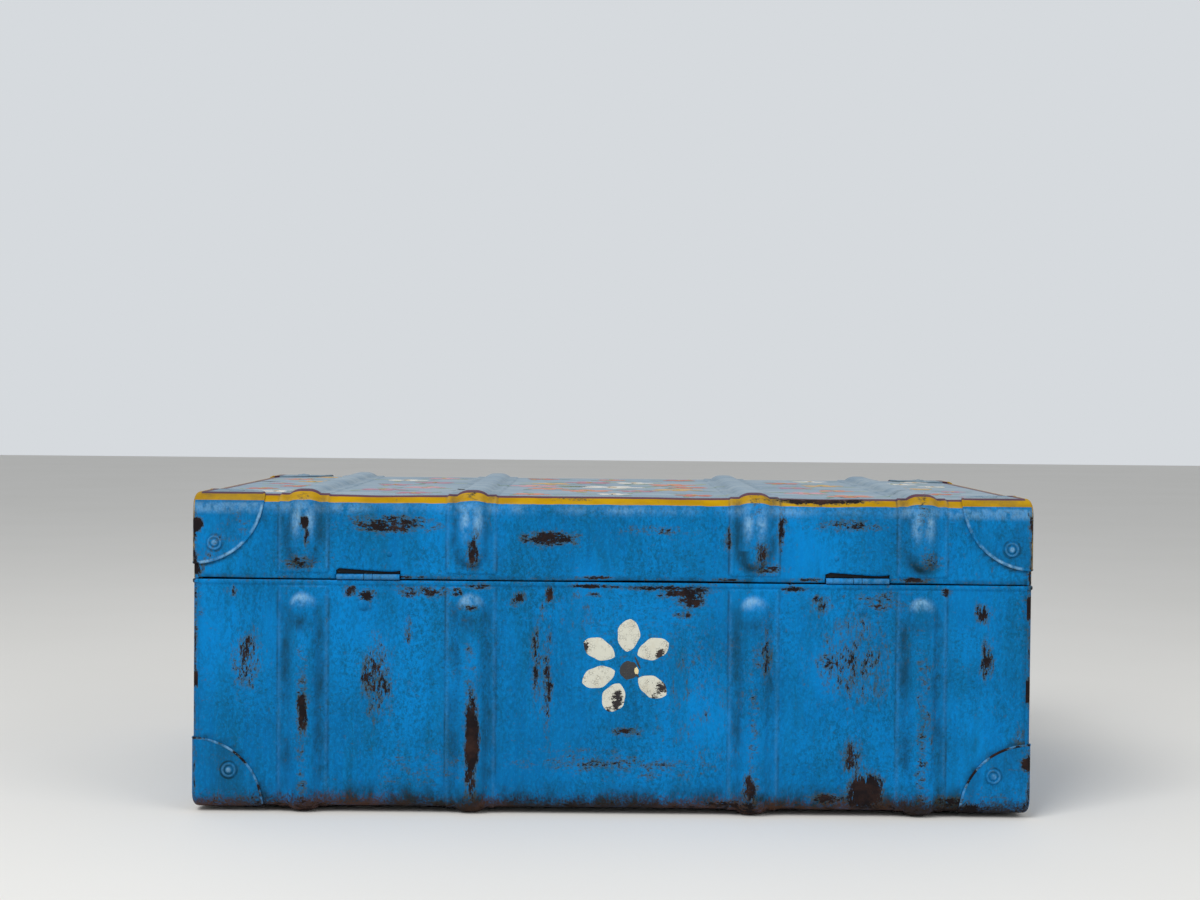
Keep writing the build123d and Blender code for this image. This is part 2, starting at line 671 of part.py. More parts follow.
def latch_loop(x):
    """Wire loop whose two stubs turn in the lever; it hangs below the lever when open."""
    low = LOOP_Z - LOOP_LENGTH
    corners = [
        (x - LOOP_STUB, LOOP_Y, LOOP_Z),
        (x - LOOP_SIDE, LOOP_Y, LOOP_Z),
        (x - LOOP_SIDE, LOOP_Y, low),
        (x + LOOP_SIDE, LOOP_Y, low),
        (x + LOOP_SIDE, LOOP_Y, LOOP_Z),
        (x + LOOP_STUB, LOOP_Y, LOOP_Z),
    ]
    elbow = LOOP_SIDE - LEVER_WIDTH / 2 - 2 * PIVOT_AIR
    return wire(corners, [elbow, LOOP_BEND, LOOP_BEND, elbow], LOOP_WIRE)


def latch_catch(x):
    """Plate on the lid with an upturned hook for the loop."""
    with BuildPart() as catch:
        with BuildSketch(latch_plane(x)):
            with Locations((0, CATCH_LOW + CATCH_HEIGHT / 2)):
                RectangleRounded(CATCH_WIDTH, CATCH_HEIGHT, LATCH_RIVET_EDGE)
        extrude(amount=LATCH_PLATE)
        with BuildSketch(Plane.YZ.offset(x - CATCH_HOOK / 2)):
            with Locations((WALL, CATCH_LOW)):
                Rectangle(CATCH_OUT, LATCH_PLATE, align=CORNER)
            with Locations((WALL + CATCH_OUT - LATCH_PLATE, CATCH_LOW)):
                Rectangle(LATCH_PLATE, CATCH_LIP, align=CORNER)
        extrude(amount=CATCH_HOOK)
        drill(CATCH_PLACES, LATCH_GRIP)
    return catch.part


for name, x in LATCH_X.items():
    pieces[f"latch_{name}_base"] = latch_base(x)
    pieces[f"latch_{name}_pin"] = latch_pin(x)
    pieces[f"latch_{name}_lever"] = latch_lever(x)
    pieces[f"latch_{name}_loop"] = latch_loop(x)
    pieces[f"latch_{name}_catch"] = latch_catch(x)
pieces["latch_base_rivets"] = rivets(BASE_PLACES, PLAIN_HEAD, PLAIN_HEAD_RISE, LATCH_GRIP)
pieces["latch_catch_rivets"] = rivets(CATCH_PLACES, PLAIN_HEAD, PLAIN_HEAD_RISE, LATCH_GRIP)

# ---------------------------------------------------------------- drop handles
HANDLE_X = PANEL_FACE + HANDLE_OUT
EYE_RADIUS = HANDLE_WIRE / 2 + PIVOT_AIR + EYE_WALL

with BuildPart() as handle_plate:
    with BuildSketch(Plane(origin=(PANEL_FACE, 0, HANDLE_Z), x_dir=(0, 1, 0), z_dir=(1, 0, 0))):
        RectangleRounded(HANDLE_PLATE_LENGTH, HANDLE_PLATE_HEIGHT, HANDLE_PLATE_CORNER)
    extrude(amount=HANDLE_PLATE)
    for centre in (-EYE_CENTRE, EYE_CENTRE):
        with BuildSketch(Plane.XZ.offset(-centre - EYE_WIDTH / 2)):
            with Locations((HANDLE_X, HANDLE_Z)):
                Circle(EYE_RADIUS)
            with Locations((PANEL_FACE, HANDLE_Z - EYE_RADIUS)):
                Rectangle(HANDLE_OUT, 2 * EYE_RADIUS, align=CORNER)
        extrude(amount=EYE_WIDTH)
    with Locations((HANDLE_X, 0, HANDLE_Z)):
        Cylinder(
            HANDLE_WIRE / 2 + PIVOT_AIR,
            HANDLE_PLATE_LENGTH,
            rotation=(90, 0, 0),
            mode=Mode.SUBTRACT,
        )
    drill(HANDLE_PLACES, HANDLE_GRIP)
pieces["handle_right_plate"] = handle_plate.part
pieces["handle_left_plate"] = handle_plate.part.mirror(Plane.YZ)

grip_low = HANDLE_Z - HANDLE_DROP
handle_corners = [
    (HANDLE_X, -HANDLE_STUB, HANDLE_Z),
    (HANDLE_X, -HANDLE_REACH, HANDLE_Z),
    (HANDLE_X, -HANDLE_REACH, grip_low),
    (HANDLE_X, HANDLE_REACH, grip_low),
    (HANDLE_X, HANDLE_REACH, HANDLE_Z),
    (HANDLE_X, HANDLE_STUB, HANDLE_Z),
]
handle_radii = [HANDLE_ELBOW, HANDLE_BEND, HANDLE_BEND, HANDLE_ELBOW]
pieces["handle_right_bail"] = wire(handle_corners, handle_radii, HANDLE_WIRE)
pieces["handle_left_bail"] = pieces["handle_right_bail"].mirror(Plane.YZ)
pieces["handle_rivets"] = rivets(HANDLE_PLACES, PLAIN_HEAD, PLAIN_HEAD_RISE, HANDLE_GRIP)

# ---------------------------------------------------------------- output
os.makedirs("parts", exist_ok=True)
for name, piece in pieces.items():
    piece.label = name
    export_step(piece, f"parts/{name}.step")
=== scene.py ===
# %% [markdown]
# # A small painted tin trunk
# The trunk is bent sheet steel. The body and the lid are each one long strip folded
# twice into a channel, closed at both ends by a panel, stiffened by four pressed ribs
# and held at the corners by riveted caps. Blue gloss enamel lies over an older dark
# brown coat, and years of use have chipped it. This lesson dresses the CAD model: the
# two big sheets are made again with their dents, and every surface gets its own finish.

# %% Load the CAD model
import json
from functools import partial

import bpy
import numpy as np
from mathutils import Euler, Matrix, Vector

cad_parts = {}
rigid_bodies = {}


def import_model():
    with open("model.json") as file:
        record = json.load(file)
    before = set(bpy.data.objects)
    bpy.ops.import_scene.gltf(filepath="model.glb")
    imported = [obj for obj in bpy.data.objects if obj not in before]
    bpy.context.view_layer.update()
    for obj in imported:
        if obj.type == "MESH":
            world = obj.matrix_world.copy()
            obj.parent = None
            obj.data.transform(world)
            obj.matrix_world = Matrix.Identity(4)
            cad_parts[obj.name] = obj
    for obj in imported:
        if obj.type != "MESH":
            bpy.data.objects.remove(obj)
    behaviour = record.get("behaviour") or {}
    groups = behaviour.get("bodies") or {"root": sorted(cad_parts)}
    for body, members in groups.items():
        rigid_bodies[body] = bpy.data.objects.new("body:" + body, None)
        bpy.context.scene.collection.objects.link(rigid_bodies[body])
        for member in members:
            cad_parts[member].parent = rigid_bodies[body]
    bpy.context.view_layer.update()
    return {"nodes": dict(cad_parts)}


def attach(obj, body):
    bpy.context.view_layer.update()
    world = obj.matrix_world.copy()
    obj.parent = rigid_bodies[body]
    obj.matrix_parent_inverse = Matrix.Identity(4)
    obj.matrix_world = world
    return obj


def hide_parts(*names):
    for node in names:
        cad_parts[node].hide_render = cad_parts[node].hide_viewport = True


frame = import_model()

# %% [markdown]
# ## The trunk's measures
# Everything is written in millimetres and turned into metres only when a mesh is made.
# The numbers are those of the CAD model, so each new piece lands on its neighbours.

# %% Measures in millimetres
MM = 0.001
HALF_LENGTH = 300.0
HALF_DEPTH = 182.5
SHEET_END = 296.5  # the bent sheets stop here, where the end panels' seam begins
SHEET = 1.0
BODY_RIM, BODY_FLAT, BODY_BEND = 168.0, 4.0, 11.0
LID_RIM, LID_FLAT, LID_BEND = 168.5, 229.0, 12.0
RIBS = np.array([-221.5, -101.3, 101.3, 221.5])  # x of their middles
BEAD_HALF, BEAD_CREST, BEAD_RISE = 11.0, 2.5, 3.2  # half widths of all and of the crest
BAND_HALF, BAND_RISE, BAND_STOP = 17.5, 0.8, 4.0  # stops count from the rim
BODY_BEAD_STOP, LID_BEAD_STOP = 19.0, 19.1
HINGES = np.array([-175.0, 175.0])
HINGE_RIVET_X, HINGE_RIVET_Z = 178.5, 150.0
SLOT_HALF, SLOT_HEIGHT = 23.0, 6.5
CAP_RADIUS, CAP_OUT = 50.0, 1.0  # the caps stand out by one sheet
YELLOW_FROM = 223.4  # the lid's yellow line starts at this height
FIELD_X, FIELD_Y = 296.0, 175.9  # and ends on the top, where the maroon line starts
print("over the ribs:", 2 * (HALF_DEPTH + BAND_RISE + BEAD_RISE), "mm deep")

# %% [markdown]
# ## Small tools
# A few helpers serve the whole lesson: one for colours, one that adds a node to a
# material with its links, two that turn points into a mesh, and two soft curves.

# %% Colours
def colour(code):
    """Turns '#rrggbb' into linear red, green, blue and alpha.

    A channel c between 0 and 1 becomes c / 12.92 up to 0.04045, and above that
    ((c + 0.055) / 1.055) to the power 2.4.
    """
    c = np.array([int(code[i : i + 2], 16) for i in (1, 3, 5)]) / 255
    linear = np.where(c <= 0.04045, c / 12.92, ((c + 0.055) / 1.055) ** 2.4)
    return (*linear.tolist(), 1.0)


print("enamel blue in linear light:", [round(v, 3) for v in colour("#0a73b9")])


# %% Words for nodes
# Each word stands for a node: its type, the output that is used (None is all of them),
# its inputs in the order of the values, and a setting if it needs one.
WORDS = {
    "place": ("TexCoord", "Object", ()),
    "mark": ("Attribute", "Fac", ()),
    "tint": ("Attribute", "Color", ()),
    "axes": ("SeparateXYZ", None, (0,)),
    "joined": ("CombineXYZ", 0, (0, 1, 2)),
    "sizes": ("VectorMath", 0, (0,), ("operation", "ABSOLUTE")),
    "distance": ("VectorMath", "Value", (0, 1), ("operation", "DISTANCE")),
    "scaled": ("Mapping", 0, ("Vector", "Scale")),
    "noise": ("TexNoise", 0, ("Vector", "Scale", "Detail", "Roughness")),
    "net": ("TexVoronoi", "Distance", ("Vector", "Scale"), ("feature", "DISTANCE_TO_EDGE")),
    "step": ("MapRange", 0, (0, 1, 2, 4), ("interpolation_type", "SMOOTHSTEP")),
    "slope": ("MapRange", 0, (0, 1, 2)),
    "blend": ("Mix", 2, (0, 6, 7), ("data_type", "RGBA")),
    "between": ("Mix", 0, (0, 2, 3), ("data_type", "FLOAT")),
    "bump": ("Bump", 0, ("Strength", "Distance", "Height")),
    "shader": (
        "BsdfPrincipled", 0,
        ("Base Color", "Roughness", "Metallic", "Specular IOR Level", "Normal"),
    ),
    "finish": ("OutputMaterial", None, (0,)),
    "rays": ("LightPath", None, ()),
    "light": ("Background", 0, ("Color", "Strength")),
    "either": ("MixShader", 0, (0, 1, 2)),
    "sky": ("OutputWorld", None, (0,)),
}
ARITHMETIC = {
    "add": "ADD", "less": "SUBTRACT", "times": "MULTIPLY", "most": "MAXIMUM", "least": "MINIMUM",
}
for word, operation in ARITHMETIC.items():
    WORDS[word] = ("Math", 0, (0, 1), ("operation", operation))
print("words for nodes:", len(WORDS))


# %% Add a node
def add_node(tree, word, *values, **settings):
    """Adds the node that a word stands for, and returns its output.

    Each value is a link or a constant for the next input. An arithmetic word takes any
    number of values, and then adds one node after the other, from left to right.
    """
    kind, output, inputs, *fixed = WORDS[word]
    if kind == "Math" and len(values) > 2:
        values = (add_node(tree, word, *values[:-1]), values[-1])
    made = tree.nodes.new("ShaderNode" + kind)
    for name, value in (*fixed, *settings.items()):
        setattr(made, name, value)
    for key, value in zip(inputs, values):
        if isinstance(value, bpy.types.NodeSocket):
            tree.links.new(value, made.inputs[key])
        else:
            made.inputs[key].default_value = value
    return made.outputs if output is None else made.outputs[output]


# %% Points to a mesh
def mesh_piece(name, body, points, quads, marks=()):
    """Makes an object from points in millimetres and quads, riding on a body.

    marks gives named numbers or colours, one per point, that a material can read.
    """
    mesh = bpy.data.meshes.new(name)
    mesh.from_pydata((points * MM).tolist(), [], quads.tolist())
    for mark, values in dict(marks).items():
        kind, field = ("FLOAT", "value") if values.ndim == 1 else ("FLOAT_COLOR", "color")
        values = values.astype(np.float32).ravel()
        mesh.attributes.new(mark, kind, "POINT").data.foreach_set(field, values)
    mesh.polygons.foreach_set("use_smooth", np.full(len(quads), True))
    mesh.update()
    piece = bpy.data.objects.new(name, mesh)
    bpy.context.scene.collection.objects.link(piece)
    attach(piece, body)
    print(f"{name}: {len(points)} points, {len(quads)} faces, rides on {body}")
    return piece


def grid_quads(rows, columns, close_rows=False, close_columns=False):
    """Quads of a grid of points numbered row by row.

    In a closed direction the last line is joined to the first.
    """
    r = np.arange(rows if close_rows else rows - 1)[:, None]
    c = np.arange(columns if close_columns else columns - 1)[None, :]
    down, right = (r + 1) % rows, (c + 1) % columns
    corners = [r * columns + c, r * columns + right, down * columns + right, down * columns + c]
    return np.stack([np.broadcast_to(k, (r.size, c.size)).ravel() for k in corners], axis=1)


def ease(value, low, high):
    """Goes smoothly from 0 at low to 1 at high: 3 t squared minus 2 t cubed."""
    t = np.clip((value - low) / (high - low), 0, 1)
    return t * t * (3 - 2 * t)


def hill(value, at, reach):
    """A soft hill of height 1: e to the power minus ((value - at) / reach) squared."""
    return np.exp(-(((value - at) / reach) ** 2))


# %% [markdown]
# ## The bent sheet as a function of two numbers
# A point of the sheet is told by x, along the trunk, and s, the distance walked from the
# hinge side's rim down the wall, across the flat and up the other wall. The pressed ribs,
# rolled edge and dents are then a height above this plain folded strip.

# %% Fold the strip
def folded(rim, flat, bend, near_rim, wall_step, flat_step):
    """Returns the walked length, its grid lines and a function of s: the plain fold.

    Each wall is straight from the rim to the bend, the bend is a quarter circle, and the
    flat joins both. The function returns y, z, the outward normal and the distance t
    from the nearer rim. The grid lines lie close together near the rim and in the bend.
    """
    up = 1 if rim > flat else -1
    wall = abs(rim - flat) - bend
    arc = bend * np.pi / 2
    length = 2 * (wall + arc + HALF_DEPTH - bend)

    def fold(s):
        t = np.minimum(s, length - s)
        side = np.where(s < length / 2, -1.0, 1.0)
        turn = np.clip((t - wall) / bend, 0, np.pi / 2)
        beyond = np.clip(t - wall - arc, 0, None)
        y = side * (HALF_DEPTH - bend + bend * np.cos(turn) - beyond)
        z = rim - up * (np.clip(t, 0, wall) + bend * np.sin(turn))
        return y, z, side * np.cos(turn), -up * np.sin(turn), t

    def lines(start, end, count):
        return np.linspace(start, end, count)[1:]

    straight = lines(near_rim[-1], wall, max(2, int((wall - near_rim[-1]) / wall_step)))
    bent = lines(wall, wall + arc, 10)
    middle = lines(wall + arc, length / 2, int((length / 2 - wall - arc) / flat_step))
    half = np.concatenate([near_rim, straight, bent, middle])
    return length, np.concatenate([half, length - half[-2::-1]]), fold


body_near_rim = [0, 0.15, 0.5, 1.5, 2.5, 2.85, 3, 3.5, 4, 4.6, 5.2, *np.arange(6.4, 32, 1.3)]
lid_near_rim = [0, 1, 2, 3, 4, 4.6, 5.2, SLOT_HEIGHT, *np.arange(8, 31, 1.3)]
BODY_LENGTH, BODY_WALK, body_fold = folded(
    BODY_RIM, BODY_FLAT, BODY_BEND, body_near_rim, wall_step=3.4, flat_step=8.5
)
LID_LENGTH, LID_WALK, lid_fold = folded(
    LID_RIM, LID_FLAT, LID_BEND, lid_near_rim, wall_step=2.0, flat_step=6.5
)
print(f"strips before folding: body {BODY_LENGTH:.0f} mm, lid {LID_LENGTH:.0f} mm wide")
print("grid lines round the body:", len(BODY_WALK), "and round the lid:", len(LID_WALK))


# %% [markdown]
# ## Pressed ribs
# Each rib is a round bead on a low, wider band. The bead's section is a small flat crest
# and a circle that leaves it level, and its end is the same section turned round. The
# band's edge has a faint raised crease, as a press leaves it.

# %% Height of ribs and bands
def rib_height(x, t, stop):
    """Height of the pressed ribs at x and rim distance t.

    The distance d from a rib's spine is the plain sideways distance beyond the stop, and
    the distance to the spine's end before it. The bead falls from its crest along a
    circle; the band is a step eased over 1.2 mm with a crease of 0.12 mm on its edge.
    """
    height = np.zeros(np.broadcast(x, t).shape)
    radius = ((BEAD_HALF - BEAD_CREST) ** 2 + BEAD_RISE**2) / (2 * BEAD_RISE)
    for rib in RIBS:
        sideways = np.abs(x - rib)
        d = np.hypot(sideways, np.maximum(stop - t, 0))
        out = np.clip(d - BEAD_CREST, 0, BEAD_HALF - BEAD_CREST)
        bead = BEAD_RISE - radius + np.sqrt(radius**2 - out**2)
        band = 1 - ease(sideways, BAND_HALF - 0.6, BAND_HALF + 0.6)
        band = BAND_RISE * band * ease(t, BAND_STOP, BAND_STOP + 1.2)
        crease = 0.12 * hill(sideways, BAND_HALF - 0.8, 0.8) * ease(t, 4, 8)
        height += np.where(d < BEAD_HALF, bead, 0) + band + crease
    return height


# %% Dents from use
# Each knock is x, s, reach and depth.
KNOCKS = [
    (-40, 95, 22, 0.5), (60, 60, 26, 0.5), (-165, 75, 24, 0.6), (150, 70, 20, 0.5),
    (20, 262, 60, 0.8),
]


def dent_height(x, s, length):
    """Shallow hollows, always inwards: two crossed waves and a few single knocks.

    It is zero near the rims, the ends and the corner caps, so that what is riveted there
    still lies flat.
    """
    t = np.minimum(s, length - s)
    depth = 0.125 * (1 + np.sin(x / 31 + 1.3) * np.sin(s / 27 + 0.4))
    for at_x, at_s, reach, deep in KNOCKS:
        depth = depth + deep * hill(x, at_x, reach) * hill(s, at_s, reach)
    return -depth * ease(t, 14, 34) * (1 - ease(np.abs(x), 225, 250))


# %% [markdown]
# ## Wear as numbers on the sheet
# Where paint has gone is not chance: edges, ribs, the foot of the walls and what other
# luggage rubbed. So each point of the sheet carries numbers for wear, for grime with
# painted shade, and for rubbing with painted highlights. They may be smooth, as the
# material turns them into ragged chips with fine noise.

# %% Spots on the hinge wall
# For each strength, spots of x, z, half width and half height. Chips of the first list lie
# along the trunk, those of the second stand upright.
SPOTS_ACROSS = {
    0.2: [(34, 120, 43, 29)],
    0.35: [(-138, 32, 29, 14)],
    0.5: [(-12, 46, 34, 3), (30, 30, 30, 3)],
    0.55: [(0, 37, 61, 6)],
    0.6: [(34, 205, 23, 3), (228, 186, 7, 6), (-224, 180, 13, 6), (192, 157, 17, 6),
        (-30, 227, 12, 1.5), (262, 227, 12, 1.5)],
    0.7: [(171, 210, 23, 4), (-37, 7, 43, 3)],
    0.75: [(110, 178, 10, 4)],
    0.8: [(-132, 160, 19, 4), (51, 145, 7, 3), (155, 113, 7, 5), (-224, 6, 29, 4), (88, 8, 21, 4),
        (-96, 164, 9, 2), (192, 152, 7, 3), (-150, 170, 20, 1)],
    0.85: [(-157, 208, 29, 6)],
    0.9: [(11, 61, 9, 3), (30, 164, 24, 2), (238, 163, 3, 3), (140, 171, 10, 1.5),
        (84, 170, 10, 1.2)],
    0.95: [(264, 12, 34, 5), (-148, 158, 4, 3), (-112, 160, 5, 3), (130, 164, 9, 2),
        (-72, 152, 3, 3), (146, 157, 4, 3), (-12, 171, 12, 1.5), (215, 171, 12, 2),
        (-12, 159, 3, 2)],
    1: [(-168, 207, 10, 5), (-46, 199, 19, 5), (-176, 157, 6, 5), (53, 161, 16, 5),
        (156, 13, 12, 4), (-186, 162, 4, 2), (-102, 149, 6, 2)],
    1.05: [(-12, 165, 20, 1.5)],
    1.1: [(57, 155, 9, 5)],
    1.15: [(150, 227, 33, 2)],
}
SPOTS_DOWN = {
    0.28: [(63, 84, 29, 50), (-23, 144, 18, 14)],
    0.45: [(228, 92, 4, 43)],
    0.6: [(174, 114, 26, 29), (110, 120, 4, 21), (-146, 132, 4, 9)],
    0.7: [(149, 153, 7, 7), (-70, 153, 3, 4)],
    0.75: [(-262, 110, 9, 20), (-168, 96, 10, 26)],
    0.8: [(-100, 192, 5, 14), (-219, 198, 2, 7), (172, 45, 6, 14)],
    0.85: [(-56, 110, 2.5, 26)],
    0.9: [(-297, 174, 5, 5), (-189, 160, 6, 4), (-272, 160, 4, 4), (-175, 102, 4, 10),
        (-52, 147, 2, 9), (268, 114, 4, 14), (265, 147, 6, 8), (293, 36, 4, 29)],
    0.95: [(83, 199, 1.5, 8), (107, 189, 5, 10), (-47, 96, 3, 34)],
    1: [(-296, 205, 4, 6), (120, 205, 2, 13), (-220, 209, 3, 4), (-45, 159, 2, 5),
        (-27, 159, 2, 4), (-67, 157, 3, 4)],
    1.05: [(-221, 72, 4, 14)],
    1.1: [(99, 18, 5, 12)],
    1.2: [(-100, 55, 5, 34)],
    1.3: [(182, 18, 12, 13)],
}
print("strengths:", sorted({*SPOTS_ACROSS, *SPOTS_DOWN}))


# %% Spots to numbers
def strongest(u, v, spots):
    """For each point, the largest of strength times e to the power minus far cubed.

    far is the distance from a spot's middle, counted in 1.25 of its half sizes.
    """
    best = np.zeros(np.broadcast(u, v).shape)
    for strength, group in spots.items():
        for at_u, at_v, half_u, half_v in group:
            far = np.hypot((u - at_u) / (1.25 * half_u), (v - at_v) / (1.25 * half_v))
            best = np.maximum(best, strength * np.exp(-(far**3)))
    return best


def strewn(seed, count, s_span, reach):
    """Spots strewn evenly within 290 mm of the middle and over a span of the walk."""
    rng = np.random.default_rng(seed)
    x, s = rng.uniform(-290, 290, count), rng.uniform(*s_span, count)
    halves = rng.uniform(0.25, 1.0, (count, 2)) * reach
    strengths = rng.uniform(0.45, 1.05, count)
    return {k: [spot] for k, *spot in zip(strengths, x, s, *halves.T)}


# %% Wear, grime and rubbing of a sheet
def sheet_marks(x, s, fold, length, flat, stop, spots):
    """Wear, rubbing with painted highlights, and grime with painted shade of each point,
    about 0 to 1, and its place in millimetres.

    Every part is a strength times steps eased between two distances, or a strength times
    a hill round one distance; the largest part counts.
    """
    y, z, _, _, t = fold(s)
    front, on_body = s < length / 2, flat < BODY_RIM
    on_top = 0.7 * (z > LID_FLAT - 0.5)
    rib = RIBS[np.argmin(np.abs(x[..., None] - RIBS), axis=-1)]
    beside, to_left = np.abs(x - rib), rib - x
    dome = np.hypot(beside, np.maximum(stop - t, 0))
    out_x, out_y = np.abs(x) - HALF_LENGTH, np.abs(y) - HALF_DEPTH
    to_corner = np.sqrt(out_x**2 + out_y**2 + (z - flat) ** 2)
    to_rivet = np.hypot(np.abs(x) - HINGE_RIVET_X, z - HINGE_RIVET_Z)

    # Wear: the spots, the ribs' crests, the sheet's ends, its foot and its rim.
    hinge_wall = front & (np.abs(z - flat) > 0.5)
    across = np.where(hinge_wall, strongest(x, z, SPOTS_ACROSS), strongest(x, s, spots))
    down = np.where(hinge_wall, strongest(x, z, SPOTS_DOWN), 0.0)
    crests = 0.44 * (1 - ease(beside, 1.5, 7)) * ease(t, 20, 60) * (1 - on_top)
    ends = 0.3 * ease(np.abs(x), 288, SHEET_END)
    foot = (1 - ease(z, 5, 16)) * (0.6 + 0.1 * (np.abs(y) < 170))
    rim = 0.3 * (1 - ease(t, 0.5, 4))
    across = np.max([across, crests, ends, foot, rim], axis=0)

    # Grime and painted shade: dirt and painted shade along the beads' sides, painted shadow
    # under the beads' ends, dark painted lines along the bands' edges and round the caps and
    # the hinge rivets, darker towards the floor, dark patches at the lid beads' lower ends,
    # and dirt with painted shadow at the lid's rim.
    edge = hill(beside, BAND_HALF + 0.9, 0.8) * ease(t, 3, 8)
    grime_and_shade = [
        hill(beside, 12.5, 4.5) * ease(t, 8, 30), edge, 1.3 * hill(to_corner, 51.3, 1.3),
        1.2 * hill(to_rivet, 4.2, 0.8) * front,
    ]
    if on_body:
        grime_and_shade.append(1.1 * hill(t, stop + 11, 6) * hill(to_left, 3, 9) * front)
        grime_and_shade.append(0.9 * np.maximum(1 - ease(z, 4, 30), 1.7 * (1 - ease(z, 10, 28))))
    else:
        grime_and_shade.append(1.2 * hill(dome, 9, 4.5) * (t < stop + 4))
        grime_and_shade.append(0.7 * (1 - ease(t, 1, 5)))

    # Rubbed paint and painted highlights: a pale line on the creases, painted highlights on
    # the beads' upper ends on the body and on the upper part of the lid's beads, and a painted
    # reflection along the lid's bend.
    rubbed_and_highlight = [0.07 * hill(beside, BAND_HALF - 0.5, 1.1) * ease(t, 5, 9)]
    if on_body:
        slope = (1 - ease(dome, 6.5, BEAD_HALF)) * (1 - ease(t, stop - 8, stop + 2))
        rubbed_and_highlight.append(0.95 * slope * ease(t, 5, 8) * (0.5 + 0.5 * ease(to_left, -6, 7)))
    else:
        uneven = 0.55 + 0.3 * np.sin(x / 17 + 1) + 0.25 * np.sin(x / 6.3)
        uneven = uneven + 0.4 * ease(np.abs(x), 190, 270)
        rubbed_and_highlight.append(0.36 * uneven * hill(z, 219.5, 3.0))
        rubbed_and_highlight.append(0.75 * hill(beside, 4.5, 3.0) * hill(z, 211, 9.0))
    return {
        "wear_across": across, "wear_down": down, "rubbed_and_highlight": np.max(rubbed_and_highlight, axis=0),
        "grime_and_shade": np.max(grime_and_shade, axis=0) * (1 - on_top), "level": z,
        "inset": np.minimum(FIELD_Y - np.abs(y), FIELD_X - np.abs(x)),
    }


# %% [markdown]
# ## Grid lines where the form changes
# Along the trunk too the points lie close together over the ribs and far apart between
# them. That keeps the pressed forms crisp with few faces.

# %% Grid lines along the trunk
rib_lines = [0, 1.2, 2.5, 3.9, 5.3, 6.8, 8.2, 9.6, 11, 13, 15, 16.3, 17.0, 17.6, 18.3, 19.5]
rib_lines = np.array([-k for k in rib_lines[:0:-1]] + rib_lines)
over_ribs = (RIBS[:, None] + rib_lines[None, :]).ravel()
plain = np.linspace(-SHEET_END, SHEET_END, 119)
plain = plain[np.min(np.abs(plain[:, None] - RIBS), axis=1) > 21]
slots = np.array([hinge + side * SLOT_HALF for hinge in HINGES for side in (-1, 1)])
X_LINES = np.unique(np.concatenate([over_ribs, plain, slots]).round(3))
X_LINES = X_LINES[np.concatenate([[True], np.diff(X_LINES) > 0.4])]
print("grid lines along the trunk:", len(X_LINES))

# %% [markdown]
# ## The two sheets
# The body's rim is rolled outwards, so it gets a small half round. The lid's lower edge
# is a plain cut edge that has been bent here and there, with two hinge slots. A Solidify
# modifier gives the thickness, the closed edges and the inside's bare finish.

# %% Points of the body sheet
def body_points(x, s, lift=0.0):
    """The plain fold pushed out by ribs, rolled edge and dents, plus lift.

    The rolled edge is 1 mm proud. Its top is round, the square root of (1 - u to the
    fourth power) over 1.5 mm, and between 2 and 4.6 mm it eases back into the wall.
    """
    y, z, out_y, out_z, t = body_fold(s)
    roll = np.sqrt(np.clip(1 - np.abs((t - 1.5) / 1.5) ** 4, 0, 1))
    roll = np.where(t < 1.5, roll, 1 - ease(t, 2.0, 4.6))
    height = rib_height(x, t, BODY_BEAD_STOP) + dent_height(x, s, BODY_LENGTH) + roll + lift
    underside = (np.abs(y) < HALF_DEPTH - BODY_BEND) & (z < 20)
    height = np.where(underside, rib_height(x, t, 0) + lift, height)
    return np.stack([x, y + out_y * height, z + out_z * height], axis=-1)


# %% Points of the lid sheet
def lid_points(x, s, lift=0.0):
    """As the body, with a lower edge that waves by up to 0.9 mm and two slots that sag.

    The edge above each slot starts 1.5 mm high at its left and hangs low at its right:
    1.5 - 3.2 * along, closed at the end by (1 - along to the eighth power).
    """
    y, z, out_y, out_z, t = lid_fold(s)
    height = rib_height(x, t, LID_BEAD_STOP) + dent_height(x, s, LID_LENGTH) + lift
    wavy = 0.38 * (1.4 + np.sin(x / 38 + 0.6) * np.cos(x / 97)) * (1 - ease(t, 0, 6))
    along = np.clip((x[..., None] - HINGES + SLOT_HALF) / (2 * SLOT_HALF), 0, 1)
    rise = np.sum((1.5 - 3.2 * along) * (1 - along**8) * (along > 0), axis=-1)
    rise = rise * (s < LID_LENGTH / 2) * (t > SLOT_HEIGHT - 0.5)
    rise = rise * np.exp(-np.maximum(t - SLOT_HEIGHT, 0) / 5)
    return np.stack([x, y + out_y * height, z + out_z * height + wavy + rise], axis=-1)


# %% Make both sheets
def bent_sheet(name, body, points, walk, *form):
    """A grid over x and s with its numbers and a thickness; the lid's has two slots.

    form is what sheet_marks needs: fold, length, flat, stop and spots.
    """
    s, x = np.meshgrid(walk, X_LINES, indexing="ij")
    quads = grid_quads(*s.shape)
    if body == "lid":
        middle_x, middle_s = (k.ravel()[quads].mean(axis=1) for k in (x, s))
        in_slot = np.min(np.abs(middle_x[:, None] - HINGES), axis=1) < SLOT_HALF
        quads = quads[~(in_slot & (middle_s < SLOT_HEIGHT))]
    else:
        quads = quads[:, ::-1]  # the body is walked the other way round
    marks = {mark: values.ravel() for mark, values in sheet_marks(x, s, *form).items()}
    piece = mesh_piece(name, body, points(x, s).reshape(-1, 3), quads, marks)
    wall = piece.modifiers.new("sheet thickness", "SOLIDIFY")
    wall.thickness = SHEET * MM
    wall.offset = -1
    wall.material_offset = 1  # the inside takes the second material
    wall.material_offset_rim = 0
    return piece


